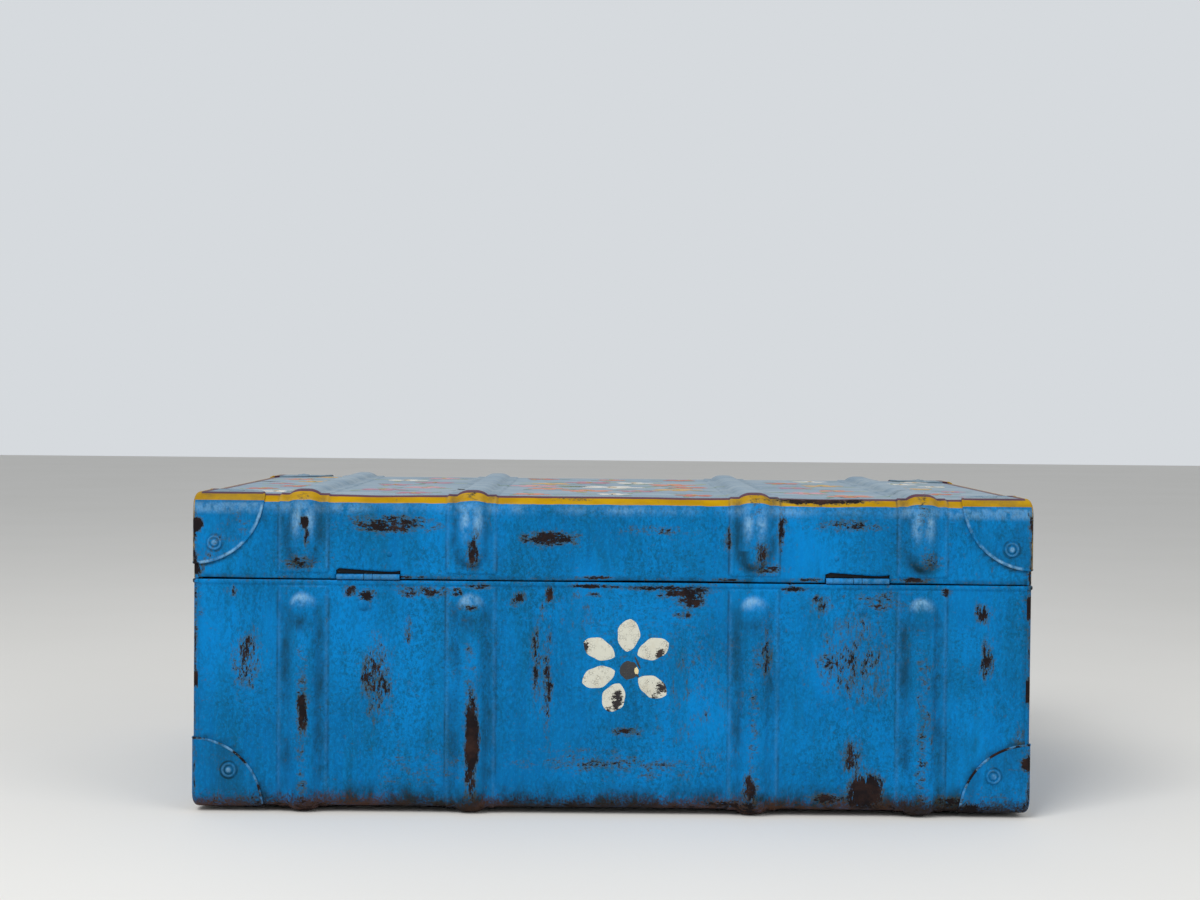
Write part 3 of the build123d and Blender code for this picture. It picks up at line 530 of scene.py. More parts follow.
# Spots for what the photograph hides: seed, count, span of s and largest half sizes,
# first of the wide face and then of the latch wall.
body_spots = strewn(5, 26, (200, 470), (16, 10)) | strewn(6, 34, (500, 690), (12, 9))
body_sheet = bent_sheet(
    "body_sheet", "trunk", body_points, BODY_WALK, body_fold, BODY_LENGTH, BODY_FLAT,
    BODY_BEAD_STOP, body_spots,
)
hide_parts("body_wrap")
lid_spots = strewn(7, 16, (75, 400), (14, 8)) | strewn(8, 18, (415, 470), (16, 6))
lid_sheet = bent_sheet(
    "lid_sheet", "lid", lid_points, LID_WALK, lid_fold, LID_LENGTH, LID_FLAT,
    LID_BEAD_STOP, lid_spots,
)
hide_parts("lid_wrap")

# %% [markdown]
# ## Rolled edges on the corner caps
# A corner cap's cut edge is hammered down into a soft ridge that catches the light under
# the paint. It runs where a ball of 49.6 mm round the trunk's corner meets the outside
# of the box. That line has no simple formula, so points on three arcs are moved step by
# step onto both forms.

# %% Distance to the rounded box corner
def corner_distance(p, bend):
    """Signed distance to the box corner: p is measured outwards from the sharp corner.

    First the distance in the section across the trunk, a square corner rounded by the
    bend; then the same rounding again, of 3 mm, between that section and the end.
    """
    def rounded(a, b, r):
        a, b = a + r, b + r
        return np.hypot(np.maximum(a, 0), np.maximum(b, 0)) + np.minimum(np.maximum(a, b), 0) - r

    return rounded(p[:, 0], rounded(p[:, 1], p[:, 2], bend), 3.0)


def uphill(p, bend, step=1e-3):
    """Direction in which that distance grows, by small differences along each axis."""
    steps = step * np.eye(3)
    slopes = [corner_distance(p + k, bend) - corner_distance(p - k, bend) for k in steps]
    slope = np.stack(slopes, axis=1)
    return slope / np.linalg.norm(slope, axis=1, keepdims=True)


# %% Ridge round each cap
def cap_ridges(name, body, flat, outward, bend):
    """Carries an oval section, 1.8 by 1.2 mm, along the cap's edge at all four corners."""
    a = np.linspace(0, np.pi / 2, 31)[:-1]
    zero = np.zeros_like(a)
    c, s = -np.cos(a), -np.sin(a)
    reach = CAP_RADIUS - 0.4
    arcs = [(c, zero, s), (zero, s, c), (s, c, zero)]
    p = reach * np.concatenate([np.stack(arc, axis=1) for arc in arcs])
    for _ in range(40):
        p = p - (corner_distance(p, bend) - CAP_OUT + 0.2)[:, None] * uphill(p, bend)
        p = p * (reach / np.linalg.norm(p, axis=1, keepdims=True))
    normal = uphill(p, bend)
    along = np.roll(p, -1, axis=0) - np.roll(p, 1, axis=0)
    across = np.cross(along / np.linalg.norm(along, axis=1, keepdims=True), normal)
    turn = np.linspace(0, 2 * np.pi, 10, endpoint=False)[:, None]
    oval = 0.9 * np.cos(turn) * across[:, None] + 0.6 * np.sin(turn) * normal[:, None]
    ring = p[:, None] + oval
    faces = grid_quads(len(p), len(turn), close_rows=True, close_columns=True)
    points, quads = [], []
    for hand, side in ((-1, -1), (-1, 1), (1, -1), (1, 1)):
        place = ring * [hand, side, outward] + [hand * HALF_LENGTH, side * HALF_DEPTH, flat]
        turned = faces if hand * side * outward > 0 else faces[:, ::-1]
        quads.append(turned + sum(len(k) for k in points))
        points.append(place.reshape(-1, 3))
    return mesh_piece(name, body, np.concatenate(points), np.concatenate(quads))


body_cap_edges = cap_ridges("body_cap_edges", "trunk", BODY_FLAT, -1, BODY_BEND)
lid_cap_edges = cap_ridges("lid_cap_edges", "lid", LID_FLAT, 1, LID_BEND)

# %% [markdown]
# ## Painted ornaments
# A petal is one press of a full brush: a thin, slightly domed film with pointed ends.
# Here it is a lens, laid on the sheet by the same function of x and s, so it follows the
# dents and never floats.

# %% Petals on a sheet
def lens_patches(
    name, body, sheet, centres, angles, lengths, widths, tints, power, lean, wear=None
):
    """Lens-shaped films: u runs along, v across, and each film is turned by its angle.

    Half width = width * (1 - u^2)^power * (1 + lean * u), wobbling by a few parts in a
    hundred; the film is 0.3 mm high in its middle and 0.06 mm at its edge. lengths and
    widths are half ones.
    """
    count = len(centres)
    u, v = np.meshgrid(np.linspace(-0.995, 0.995, 17), np.linspace(-1, 1, 7), indexing="ij")
    columns = (np.arange(count), lengths, widths, np.cos(angles), np.sin(angles), *centres.T)
    phase, length, width, c, s, x, walk = (np.reshape(k, (count, 1, 1)) for k in columns)
    wobble = 1 + 0.05 * np.sin(7 * u + 2.3 * phase + 1.2 * v)
    p, q = length * u, width * (1 - u**2) ** power * (1 + lean * u) * wobble * v
    x, walk = x + c * p - s * q, walk + s * p + c * q
    lift = 0.06 + 0.24 * (1 - np.maximum(np.abs(u), np.abs(v)) ** 3)
    points = sheet(x, walk, lift).reshape(-1, 3)
    one = grid_quads(*u.shape)
    quads = (one[None] + (u.size * np.arange(count))[:, None, None]).reshape(-1, 4)
    marks = {"tint": np.repeat(np.broadcast_to(tints, (count, 4)), u.size, axis=0)}
    if wear:
        marks["wear_across"] = wear(x, walk).ravel()
    return mesh_piece(name, body, points, quads, marks)


# %% The flower on the hinge wall
# Each petal runs from an inner to an outer point, measured from the flower's eye.
EYE_X, EYE_S = 12.0, BODY_RIM - 105.0
PETALS = np.array([
    (-1.6, 13.3, 0.9, 36.8), (6.2, 11.0, 28.6, 19.6), (6.9, -5.7, 27.0, -17.6),
    (-6.4, -9.6, -14.6, -29.8), (-9.9, -0.6, -33.2, -9.4), (-10.1, 9.6, -32.4, 20.2),
])
# From here on the second number counts along the walk s, so it grows downwards.
inner, outer = PETALS[:, :2] * (1, -1), PETALS[:, 2:] * (1, -1)
reach = outer - inner


def petal_chips(x, walk):
    """Where the petals' outer edges have gone, in millimetres round the eye."""
    spots = {
        1.15: [(-8, -22, 4, 8)], 1.1: [(22, 12, 4, 4)], 1: [(24, -12, 5, 5), (-31, 16, 3, 6)],
        0.9: [(-26, 9, 3, 2)], 0.8: [(20, -18, 6, 4), (-16, -28, 6, 3)],
        0.7: [(12, 8, 8, 2)], 0.5: [(-33, -9, 4, 3)],
    }
    return strongest(x - EYE_X, EYE_S - walk, spots)


side_petals = lens_patches(
    "side_petals", "trunk", body_points, (EYE_X, EYE_S) + (inner + outer) / 2,
    np.arctan2(reach[:, 1], reach[:, 0]), np.hypot(*reach.T) / 2,
    [8.0, 7.6, 7.4, 8.2, 7.5, 7.5], colour("#cbcabb"), 0.66, 0.1, petal_chips,
)

# %% The flower's eye
# A round film: half width (1 - u squared) to the power 0.5 is a circle. Three small
# films lie on it, one of them light.
EYE_TINTS = ["#242629", "#d8c795", "#242629", "#242629"]
side_eye = lens_patches(
    "side_eye", "trunk", lambda x, s, lift: body_points(x, s, lift + 0.05 * (x > EYE_X + 4)),
    np.array([(0, 0), (5.2, 0.2), (6.3, -5.5), (6.0, 3.6)]) + (EYE_X, EYE_S),
    [0.3, 1.35, 1.15, 0.7], [6.5, 3.0, 5.0, 1.6], [6.6, 1.8, 0.7, 0.9],
    [colour(k) for k in EYE_TINTS], 0.5, 0.0,
)

# %% [markdown]
# ## Blossoms on the lid
# Hand-painted trunks carry flowers on the lid. These are plain garden blossoms and
# leaves in an order of their own: a garland down each field between the ribs, and a
# wreath in the wide middle field.

# %% Where the blossoms go
# Each garland is the middle of its field, its sway and its blossoms' radius. A blossom is
# x, y and radius.
rng = np.random.default_rng(21)
blossoms = []
for field, sway, size in ((-258, 9.5, 13), (-161.4, 14, 17), (161.4, 14, 17), (258, 9.5, 13)):
    side_to_side = sway * np.cos(np.arange(7) * np.pi)
    sizes = size * rng.uniform(0.8, 1.1, 7)
    blossoms += zip(field + side_to_side, np.linspace(-138, 138, 7), sizes)
for i, a in enumerate(np.arange(10) * 2 * np.pi / 10):
    blossoms.append((62 * np.cos(a), 84 * np.sin(a), 17 + 4 * (i % 2)))
blossoms += [(0, 0, 27), (-60, 142, 15), (60, 142, 15), (-60, -142, 15), (60, -142, 15)]
blossoms += [(0, 138, 13), (0, -138, 13)]
at_x, at_y, radius = np.array(blossoms).T
print("blossoms:", len(blossoms))

# %% Petals, eyes and leaves
PETAL_TINTS = ["#c98a93", "#b8583f", "#c79a4a", "#d9d6cc", "#a8687e", "#c7775a"]
LEAF_TINTS = ["#66845a", "#4f7463", "#86965f"]


def around(turns, share):
    """x and walk s on the lid's top, at a share of each blossom's radius from its middle."""
    x = at_x[:, None] + share * radius[:, None] * np.cos(turns)
    y = at_y[:, None] + share * radius[:, None] * np.sin(turns)
    return np.stack([x.ravel(), LID_LENGTH / 2 + y.ravel()], axis=-1)


start = rng.uniform(0, 2 * np.pi, len(blossoms))
petal_turn = start[:, None] + np.arange(5) * 2 * np.pi / 5
pick = rng.integers(0, len(PETAL_TINTS), len(blossoms))
petal_tints = np.repeat(np.array([colour(k) for k in PETAL_TINTS])[pick], 5, axis=0)
petal_size = np.repeat(radius, 5)
lid_petals = lens_patches(
    "lid_petals", "lid", lid_points, around(petal_turn, 0.56), petal_turn.ravel(),
    0.46 * petal_size, 0.29 * petal_size, petal_tints, 0.6, 0.35,
)
leaf_turn = start[:, None] + np.array([0.4, 2.6, 4.4])
leaf_size = np.repeat(radius, 3)
pick = rng.integers(0, len(LEAF_TINTS), leaf_size.size)
lid_leaves = lens_patches(
    "lid_leaves", "lid", lambda x, s, lift: lid_points(x, s, 0.5 * lift),
    around(leaf_turn, 1.35), leaf_turn.ravel() + 0.5, 0.5 * leaf_size, 0.17 * leaf_size,
    np.array([colour(k) for k in LEAF_TINTS])[pick], 0.9, -0.15,
)
lid_eyes = lens_patches(
    "lid_eyes", "lid", lambda x, s, lift: lid_points(x, s, lift + 0.25),
    around(start[:, None], 0), start, 0.16 * radius, 0.16 * radius, colour("#c9a13e"), 0.5, 0.0,
)

# %% [markdown]
# ## Worn enamel
# The paint is a gloss enamel brushed over an older dark brown coat. Up close it shows
# brush lines, faded blotches, dirt and painted shade in the hollows, pale rubbed ridges
# with painted highlights, and ragged chips. The same patterns serve every painted part;
# only the places of wear differ.

# %% Start a material
def emptied(owner):
    """Empties a material's or sky's nodes, and returns put, which adds a node to it."""
    owner.use_nodes = True
    owner.node_tree.nodes.clear()
    print("nodes for:", owner.name)
    return partial(add_node, owner.node_tree)


def start_material(name):
    """A new material and its put."""
    material = bpy.data.materials.new(name)
    return material, emptied(material)


def surface(put, base, roughness, height, depth_mm, metallic=0.0, gloss=0.5):
    """The shader: colour, roughness and metal, with a height pattern that is depth_mm deep."""
    bump = put("bump", 1.0, depth_mm * MM, height)
    put("finish", put("shader", base, roughness, metallic, gloss, bump))


# %% Patterns at a real size
# Each pattern is noise made into patches. The numbers are its size in millimetres, the
# noise where a patch begins and where it is full, the noise's detail and roughness, and
# how far it is drawn out along x, y and z.
PATTERNS = {
    "fading": (90, 0.35, 0.68, 2, 0.55),
    "lines": (3, 0.3, 0.75, 3, 0.55, (1, 1, 14)),
    "smudges": (16, 0.48, 0.68, 5, 0.6, (1, 1, 5)),
    "thin places": (14, 0.5, 0.72, 5, 0.65, (1, 1, 2.5)),
    "specks": (1.8, 0.48, 0.66, 5, 0.75, (1.5, 1.5, 1)),
    "speck areas": (55, 0.4, 0.6, 3, 0.55),
    "dust": (2.6, 0.44, 0.6, 5, 0.8, (1, 1, 1.8)),
    "dust areas": (38, 0.25, 0.7, 3, 0.55, (1, 1, 1.6)),
    "fresh grains": (1.5, 0.5, 0.62, 3, 0.7, (1, 1, 1.5)),
    "rust below": (20, 0.45, 0.7, 6, 0.7),
    # Clouds that break up the dirt and the painted shade.
    "dirt clouds": (16, 0.3, 0.7, 6, 0.7, (1, 1, 2.2)),
    # Patches that break up the rubbed paint and the painted highlights.
    "polish": (6, 0.25, 0.62, 4, 0.6, (1, 1, 1.5)),
    "foot rust": (70, 0.42, 0.62, 4, 0.55),
    "ridge wear": (13, 0.4, 0.6, 3, 0.55),
    "arc breaks": (12, 0.38, 0.6, 3, 0.55),
    "gold blotches": (8, 0.35, 0.7, 5, 0.55, (3, 3, 1)),
    "field streaks": (26, 0.3, 0.72, 6, 0.65, (3.5, 1, 1)),
    "crack areas": (7, 0.46, 0.62, 4, 0.55),
    "ochre stains": (9, 0.5, 0.75, 5, 0.6, (1, 1, 2)),
    "tin bloom": (30, 0.35, 0.7, 5, 0.65),
    "tin stains": (11, 0.55, 0.72, 7, 0.7),
    "hand wear": (12, 0.35, 0.7, 5, 0.6),
    "steel rust": (5, 0.53, 0.66, 8, 0.72),
}


def grain(put, size_mm, detail, rough=0.55, stretch=(1, 1, 1)):
    """Noise whose features are size_mm wide, drawn out along an axis by a stretch above 1."""
    laid = put("scaled", put("place"), tuple(1 / k for k in stretch))
    return put("noise", laid, 1 / (size_mm * MM), detail, rough)


def pattern(put, name):
    """Patches from the table: 0 up to the first noise value, 1 from the second on."""
    size_mm, low, high, *how = PATTERNS[name]
    return put("step", grain(put, size_mm, *how), low, high)


def swing(put, size_mm, amount, detail):
    """Grain that goes above and below zero: amount times (noise minus one half)."""
    return put("times", put("less", grain(put, size_mm, detail), 0.5), amount)


def within(put, value, start, full, fading, end):
    """Rises from 0 at start to 1 at full, and falls from 1 at fading to 0 at end."""
    return put("times", put("step", value, start, full), put("step", value, end, fading))


def coat(put, paint, code, *shares):
    """Lays a colour over a paint, by the product of the shares; a name is a pattern."""
    shares = [pattern(put, share) if isinstance(share, str) else share for share in shares]
    share = put("times", *shares) if len(shares) > 1 else shares[0]
    return put("blend", share, paint, colour(code))


# %% Paint that was brushed on
def brushed_blue(put):
    """Blue enamel as it has aged, in layers over each other, and its brush lines."""
    lines = pattern(put, "lines")
    paint = coat(put, colour("#00639e"), "#0079c0", "fading")
    paint = coat(put, paint, "#087fb4", lines, 0.22)
    paint = coat(put, paint, "#04567a", "smudges", 0.38)
    paint = coat(put, paint, "#0a4f66", "thin places", 0.34)
    paint = coat(put, paint, "#0f434d", "specks", "speck areas", 0.62)
    paint = coat(put, paint, "#054a66", "dust", "dust areas", 0.68)
    return coat(put, paint, "#0089d4", "fresh grains", 0.24), lines


# %% Chips
def chipped(put, across, down):
    """Share of paint gone: noise of 7 and 1.6 mm plus the wear numbers, cut off sharply.

    Lying chips use noise drawn out along x, standing chips noise drawn out along z.
    Returns the chip mask and a wider, fainter halo of paint that is only thin.
    """
    found = []
    for broad, fine, wear in (((1.6, 1, 1), (2.2, 1, 1), across), ((1, 1, 2.4), (1, 1, 3), down)):
        flakes = put("times", grain(put, 7, 8, 0.74, broad), 0.54)
        crumbs = put("times", grain(put, 1.6, 5, 0.8, fine), 0.46)
        found.append(put("add", flakes, crumbs, put("times", wear, 0.23)))
    most = put("most", *found)
    return put("step", most, 0.672, 0.69), put("step", most, 0.565, 0.672)


def old_brown(put):
    """The dark brown coat below, going to rust in places."""
    return coat(put, colour("#1a1517"), "#35241f", "rust below")


# %% Enamel over everything
AGED_GLOSS = 0.07  # fresh enamel has 0.5; years of dust and sun have dulled this one


def layered(put, paint, lines, across, down, rubbed_and_highlight, grime_and_shade):
    """Puts dirt and painted shade, rubbing and painted highlights, thin paint, a rusty foot
    and chips over a paint.

    Returns colour, roughness and height. The height is that of the paint film: a full
    step down where it is gone, and a little up along the brush lines.
    """
    speckle = grain(put, 1.6, 3, 0.7, (1, 1, 1.6))
    dirt_and_shade = put("times", grime_and_shade, pattern(put, "dirt clouds"), 0.85)
    # Dark teal: dirt, and painted shade in the hollows, on creases and round edges and rivets.
    paint = coat(put, paint, "#10303d", dirt_and_shade)
    dotted = put("step", speckle, 0.05, 0.62)
    # Pale blue: rubbed paint, and painted highlights and reflections on beads, bends, ridges and
    # rivets.
    paint = coat(put, paint, "#96c2de", rubbed_and_highlight, dotted, "polish", 0.82)
    gone, halo = chipped(put, across, down)
    paint = coat(put, paint, "#444a3e", halo, put("step", speckle, 0.38, 0.54), 0.85)
    foot = put("slope", put("axes", put("place"))[2], 28 * MM, 4 * MM)
    ragged = put("times", put("less", speckle, 0.5), 1.3)
    foot = put("step", put("add", foot, ragged, swing(put, 40, 0.9, 3)), 0.42, 0.95, 0.92)
    rusty = coat(put, colour("#2a201b"), "#4a2f20", "foot rust")
    paint = put("blend", foot, paint, rusty)
    base = put("blend", gone, paint, old_brown(put))
    matt = put("between", put("add", gone, dirt_and_shade), 0.4, 0.72)
    parts = [put("times", *part) for part in ((gone, -1.0), (lines, 0.12), (speckle, 0.1))]
    return base, matt, put("add", *parts)


# %% [markdown]
# ## Body enamel
# On the bent sheet the wear comes from the numbers on its points. On the end panels,
# caps and rivets, which come straight from CAD, it comes from their place: paint goes
# first along the trunk's outer edges and near the floor.

# %% Wear from the place alone
def edge_wear(put, knocks=()):
    """Wear near the upright corners and the floor, broken up by noise 45 mm wide.

    knocks are single spots of full wear: x, y, z and reach. Returns the wear, and the
    sizes of x, y and z, all in millimetres.
    """
    axes = put("axes", put("sizes", put("place")))
    x, y, z = (put("times", axes[k], 1 / MM) for k in range(3))
    end, wall = put("step", x, 295.5, 299.5), put("step", y, 179.5, HALF_DEPTH)
    low = put("times", put("slope", z, 16.0, 6.0), 0.6)
    worn = put("most", put("times", end, wall, 0.6), low)
    worn = put("add", worn, swing(put, 45, 1.8, 3))
    for *middle, reach in knocks:
        far = put("distance", put("place"), tuple(k * MM for k in middle))
        knock = put("step", far, reach * MM, 0.3 * reach * MM, 1.15)
        worn = put("most", worn, knock)
    return put("most", worn, 0.0), (x, y, z)


def rivet_rings(put, axes, rivet_x, rivet_z):
    """Painted highlights as a pale dome and ring on each cap rivet, painted shade between them
    and round its head.

    The distance d from the rivet's middle is taken in the face: from x and z on a wall,
    from y and z on an end. Pale is d < 1.8 or d near 4.4; dark is d near 3 or near 6, in mm.
    """
    high = put("less", axes[2], rivet_z)
    on_wall, on_end = (0, rivet_x, 1, HALF_DEPTH), (1, HALF_DEPTH - 26, 0, HALF_LENGTH - 1)
    near = []
    for axis, at, out_axis, face in (on_wall, on_end):
        far = put("distance", put("joined", put("less", axes[axis], at), high))
        near.append(put("add", far, put("step", axes[out_axis], face, face - 1, 99.0)))
    d = put("least", *near)
    ring = put("times", within(put, d, 3.4, 4.0, 4.7, 5.2), 0.15)
    dirt_and_shade = put("times", within(put, d, 5.1, 5.8, 6.4, 7.8), 1.1)
    dome, groove = put("step", d, 2.4, 1.2, 0.5), within(put, d, 2.2, 2.8, 3.3, 3.9)
    return put("most", dome, ring), put("most", dirt_and_shade, groove)


# %% Tin, also behind the paint
def tinned(put):
    """Tinned sheet: grey with a bloom 30 mm wide and brown damp stains 11 mm wide.

    Returns colour, roughness, height and metal. A stain is rough and hardly metallic.
    """
    stain = pattern(put, "tin stains")
    tin = coat(put, colour("#77756f"), "#9a978f", "tin bloom")
    tin = coat(put, tin, "#5c4030", stain, 0.8)
    matt = put("between", stain, 0.42, 0.85)
    metal = put("between", stain, 0.75, 0.1)
    return tin, matt, grain(put, 2.5, 5), metal


def painted_outside(put, axes, painted):
    """Paint on the outside of an end panel, bare tin on its inside.

    Inside means less than 298.4 mm along, and in the section across the trunk less than
    11 mm beyond a box of 342 mm by 15.5 to 217.5 mm. That rounded line runs within the
    sheet, between its two faces, also in the bends.
    """
    x, y, z = axes
    across = put("most", put("less", y, 171.0), 0.0)
    upright = put("most", put("less", z, 217.5), put("less", 15.5, z), 0.0)
    beyond = put("distance", put("joined", across, upright))
    inside = put("times", put("step", x, 298.6, 298.3), put("step", beyond, 11.1, 10.8))
    tin, tin_matt, _, tin_metal = tinned(put)
    base, matt, film = painted
    base = put("blend", inside, base, tin)
    matt = put("between", inside, matt, tin_matt)
    metal = put("times", inside, tin_metal)
    surface(put, base, matt, film, depth_mm=0.16, metallic=metal, gloss=AGED_GLOSS)


# %% Blue enamel on the body sheet
# It gives the eye a deep blue that lives up close: brush lines, specks, ragged chips.
SHEET_MARKS = ("wear_across", "wear_down", "rubbed_and_highlight", "grime_and_shade")
blue_sheet, put = start_material("blue_gloss_enamel_body")
marks = [put("mark", attribute_name=name) for name in SHEET_MARKS]
aged = layered(put, *brushed_blue(put), *marks)
surface(put, *aged, depth_mm=0.16, gloss=AGED_GLOSS)

# %% Blue enamel on ends, caps and small parts
# It gives the same blue, with painted highlights and painted shade rings on the rivets, and
# bare knocks on the outer edges.
blue_parts, put = start_material("blue_gloss_enamel_parts")
knocks = [(299, -182, 152, 13), (300, -182, 92, 15), (-299, -182, 96, 9), (299, -182, 40, 9)]
worn, axes = edge_wear(put, knocks)
# Pale is a painted highlight on the rivets; dark is painted shade round them, and at least 0.5 of
# dirt everywhere.
pale, dark = rivet_rings(put, axes, HALF_LENGTH - 26, BODY_FLAT + 27)
dark = put("most", dark, 0.5)
aged = layered(put, *brushed_blue(put), worn, worn, pale, dark)
painted_outside(put, axes, aged)

# %% Enamel on the hinges
# It gives a blue knuckle with a painted highlight on a near black hinge: only what stands
# in front of the wall was reached by the brush. The near black behind the wall is bare
# steel and painted shade that keeps the slots dark.
hinge_paint, put = start_material("blue_enamel_on_knuckles")
paint, lines = brushed_blue(put)
worn, axes = edge_wear(put)
front_of_wall = put("step", axes[1], 182.2, 182.6)
# Near black behind the wall: dark steel, and painted shade in the slots.
paint = put("blend", front_of_wall, colour("#17181a"), paint)
# A painted highlight on the knuckle.
polish_and_highlight = put("times", front_of_wall, 0.16)
aged = layered(put, paint, lines, worn, 0.0, polish_and_highlight, 0.1)
surface(put, *aged, depth_mm=0.12, gloss=AGED_GLOSS)

# %% Rubbed enamel with painted highlights on the caps' ridges
# It gives a pale broken line round each cap, a painted highlight where it isn't worn through.
rubbed_and_highlit_ridge, put = start_material("blue_enamel_rubbed_and_highlit")
worn, _ = edge_wear(put, [(259, -183, 32, 16), (280, -183, 48, 16), (-265, -183, 42, 10)])
uneven = pattern(put, "ridge wear")
worn = put("add", put("times", worn, 0.8), put("times", uneven, 0.75))
# A painted highlight on the ridge, where it isn't worn.
polish_and_highlight = put("times", put("less", 1.0, uneven), 0.5)
aged = layered(put, *brushed_blue(put), worn, 0.0, polish_and_highlight, 0.3)
surface(put, *aged, depth_mm=0.12, gloss=AGED_GLOSS)

# %% [markdown]
# ## Lid enamel
# Round the lid's upper edge runs a line of yellow, and inside it a thin maroon one. The
# field inside is a pale blue-grey with streaks of the brush. The lines are told by two
# numbers: the height of the fold, and the distance inwards on the top.

# %% Lines and field
def lid_lines(put, paint, level, inset):
    """Yellow from YELLOW_FROM up, maroon for 4 mm inside the top's edge, then the pale field.

    level is the height and inset the distance inwards on the top, in millimetres; both
    wobble with the hand by less than 1 mm.
    """
    wobble = swing(put, 18, 1.6, 4)
    level, inset = (put("add", value, wobble) for value in (level, inset))
    gold = coat(put, colour("#a37c00"), "#b78f00", "gold blotches")
    field = coat(put, colour("#6f8a9f"), "#93a5b0", "field streaks")
    yellow = put("step", level, YELLOW_FROM - 0.15, YELLOW_FROM + 0.15)
    paint = put("blend", yellow, paint, gold)
    paint = coat(put, paint, "#573445", put("step", inset, -0.2, 0.2))
    return put("blend", put("step", inset, 4.0, 4.6), paint, field)


# %% Enamel on the lid sheet
# It gives blue walls under a warm yellow line, and a soft pale field that the blossoms
# stand out from.
lid_enamel, put = start_material("enamel_lid_sheet")
paint, lines = brushed_blue(put)
level, inset, *marks = (
    put("mark", attribute_name=name) for name in ("level", "inset", *SHEET_MARKS)
)
paint = lid_lines(put, paint, level, inset)
surface(put, *layered(put, paint, lines, *marks), depth_mm=0.16, gloss=AGED_GLOSS)

# %% Enamel on the lid's ends and caps
# It gives a yellow strip on the seam, and painted highlights on the bends and arcs of the caps.
lid_parts, put = start_material("enamel_lid_parts")
paint, lines = brushed_blue(put)
worn, axes = edge_wear(put, [(-298, -183, 207, 8), (-298, -183, 175, 7)])
x, y, z = axes
seam = within(put, x, 299.2, 299.5, 300.4, 300.7)
above = put("step", z, 224.2, 224.5)
level = put("times", put("most", seam, above), 300.0)
inset = put("least", put("less", FIELD_Y, y), put("less", FIELD_X, x))
paint = lid_lines(put, paint, level, inset)
pale, dark = rivet_rings(put, axes, HALF_LENGTH - 15, LID_FLAT - 35)
corner = (HALF_LENGTH, HALF_DEPTH, LID_FLAT)
from_corner = put("distance", put("joined", x, y, z), corner)
on_arc = within(put, from_corner, 47.8, 49.0, 50.6, 51.3)
arc = put("times", on_arc, put("step", z, 222.5, 220.5), pattern(put, "arc breaks"), 0.75)
on_bend = within(put, z, 213.5, 218.0, 221.5, 224.0)
bend_band = put("times", on_bend, put("step", y, 180.0, 181.5), 0.32)
# Pale: painted highlights on the rivets and along the caps' arcs, and a painted reflection along
# the bend.
pale = put("most", pale, arc, bend_band)
# Dark: painted shade round the rivets, and at least 0.4 of dirt everywhere.
dark = put("most", dark, 0.4)
painted_outside(put, axes, layered(put, paint, lines, worn, worn, pale, dark))

# %% [markdown]
# ## Ornament paint
# The flowers are oil enamel in a thin film. Age has covered it with a fine net of dark
# cracks, and the film has flaked at the petals' outer edges down to the old brown coat.

# %% Cracked ornament paint
# It gives a warm cream that looks old: cracks 1.7 mm apart, in places, and ochre stains.
ornament, put = start_material("ornament_enamel")
crack = put("slope", put("net", put("place"), 1 / (1.7 * MM)), 0.09, 0.0)
crack = put("times", crack, pattern(put, "crack areas"), 0.75)
paint = coat(put, put("tint", attribute_name="tint"), "#a08455", "ochre stains", 0.275)
paint = coat(put, paint, "#3a322c", crack)
gone, _ = chipped(put, put("mark", attribute_name="wear_across"), 0.0)
base = put("blend", gone, paint, old_brown(put))
deep = put("times", put("add", gone, crack), -1.0)
matt = put("between", gone, 0.45, 0.8)
surface(put, base, matt, deep, depth_mm=0.12)

# %% [markdown]
# ## Bare tin and steel
# The inside was never painted: dull grey tinned sheet, brown where it has been damp.
# Handles, pins, loops and levers are mild steel, darkened by hands and oil, with rust.

# %% Tinned sheet inside
# It gives a soft grey shimmer that goes dead in the brown stains.
bare_tin, put = start_material("tinned_sheet_steel")
tin, matt, film, metal = tinned(put)
surface(put, tin, matt, film, depth_mm=0.08, metallic=metal)

# %% Dark worked steel
# It gives dark metal with brighter places where hands have polished it, and matt rust.
dark_steel, put = start_material("dark_mild_steel")
rust = pattern(put, "steel rust")
steel = coat(put, colour("#3d3a38"), "#77726c", "hand wear")
steel = coat(put, steel, "#573424", rust)
matt = put("between", rust, 0.38, 0.88)
metal = put("between", rust, 0.9, 0.05)
surface(put, steel, matt, grain(put, 1.2, 6, 0.65), depth_mm=0.1, metallic=metal)

# %% [markdown]
# ## Which part wears which finish
# The names of the CAD parts say what they are, so a short table of name beginnings is
# enough. The sheets carry two finishes, one outside and one inside.

# %% Give out the finishes
def dress(piece, *materials):
    """Replaces a piece's material slots."""
    piece.data.materials.clear()
    for material in materials:
        piece.data.materials.append(material)


dress(body_sheet, blue_sheet, bare_tin)
dress(lid_sheet, lid_enamel, bare_tin)
dress(body_cap_edges, rubbed_and_highlit_ridge)
dress(lid_cap_edges, lid_parts)
for piece in (side_petals, side_eye, lid_petals, lid_leaves, lid_eyes):
    dress(piece, ornament)

# The first row with a beginning that fits is used.
FINISHES = [
    (blue_parts, "body_end body_cap hinge_body_rivets hinge_lid_rivets latch_left_base "
     "latch_right_base latch_left_catch latch_right_catch handle_left_plate handle_right_plate"),
    (lid_parts, "lid_end lid_cap"),
    (bare_tin, "body_wrap lid_wrap rim_band"),
    (dark_steel, "hinge_left_pin hinge_right_pin latch handle"),
    (hinge_paint, "hinge"),
]
for name, node in frame["nodes"].items():
    dress(node, next(row[0] for row in FINISHES if name.startswith(tuple(row[1].split()))))
print("dressed", len(frame["nodes"]), "CAD parts")

# %% [markdown]
# ## The studio
# A pale floor, a wide soft lamp high on the left and a weaker one on the right. A pale
# sky lights the trunk evenly; the camera and the gloss see it nearly white.

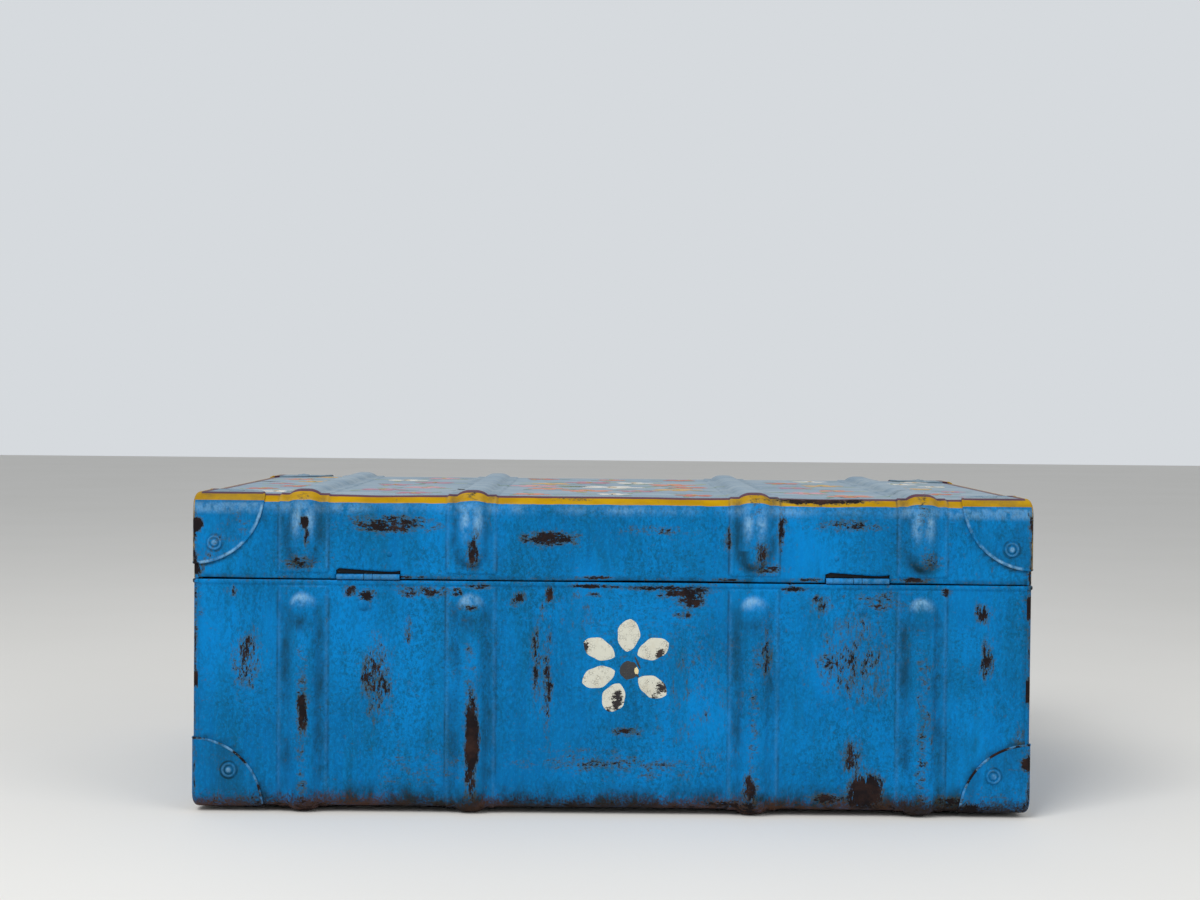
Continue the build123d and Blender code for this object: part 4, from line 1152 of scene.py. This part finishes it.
# %% Floor
floor_mesh = bpy.data.meshes.new("floor")
floor_mesh.from_pydata([(-9, -9, 0), (9, -9, 0), (9, 9, 0), (-9, 9, 0)], [], [(0, 1, 2, 3)])
floor = bpy.data.objects.new("floor", floor_mesh)
bpy.context.scene.collection.objects.link(floor)
floor_paint, put = start_material("pale_matt_floor")
pale = coat(put, colour("#e2e0db"), "#e8e6e2", grain(put, 400, 2))
surface(put, pale, 0.85, grain(put, 3, 4), depth_mm=0.02)
dress(floor, floor_paint)

# %% Sky
world = bpy.data.worlds.new("studio")
put = emptied(world)
rays = put("rays")
seen = put("most", rays["Is Camera Ray"], rays["Is Glossy Ray"], rays["Is Transmission Ray"])
even, bright = put("light", colour("#f2f5f8"), 0.55), put("light", colour("#d6dade"), 1.0)
put("sky", put("either", seen, even, bright))
bpy.context.scene.world = world


# %% Lamps
def soft_lamp(name, at, size, watts):
    """A square lamp that looks at the trunk's middle."""
    lamp = bpy.data.lights.new(name, "AREA")
    lamp.size = size
    lamp.energy = watts
    stand = bpy.data.objects.new(name, lamp)
    stand.location = at
    stand.rotation_euler = (Vector((0, 0, 0.1)) - Vector(at)).to_track_quat("-Z", "Y").to_euler()
    bpy.context.scene.collection.objects.link(stand)


soft_lamp("key", (-1.1, -1.9, 2.3), 1.5, 56)
soft_lamp("fill", (1.8, -1.6, 1.4), 1.6, 16)

# %% [markdown]
# ## The camera
# The picture was taken from just above the lid, straight on to the hinge side. The lens
# and the place were worked out from the lid's corners and the trunk's size.

# %% Camera
lens = bpy.data.cameras.new("camera")
lens.lens = 57.15
lens.sensor_width = 36
camera = bpy.data.objects.new("camera", lens)
tilt, roll = np.radians(-1.28), np.radians(0.52)
camera.location = (-0.010, -1.543, 0.293)
aim = Euler((np.pi / 2 + tilt, 0, 0)).to_matrix() @ Euler((0, 0, roll)).to_matrix()
camera.rotation_euler = aim.to_euler()
bpy.context.scene.collection.objects.link(camera)
bpy.context.scene.camera = camera
bpy.context.scene.view_settings.view_transform = "Standard"
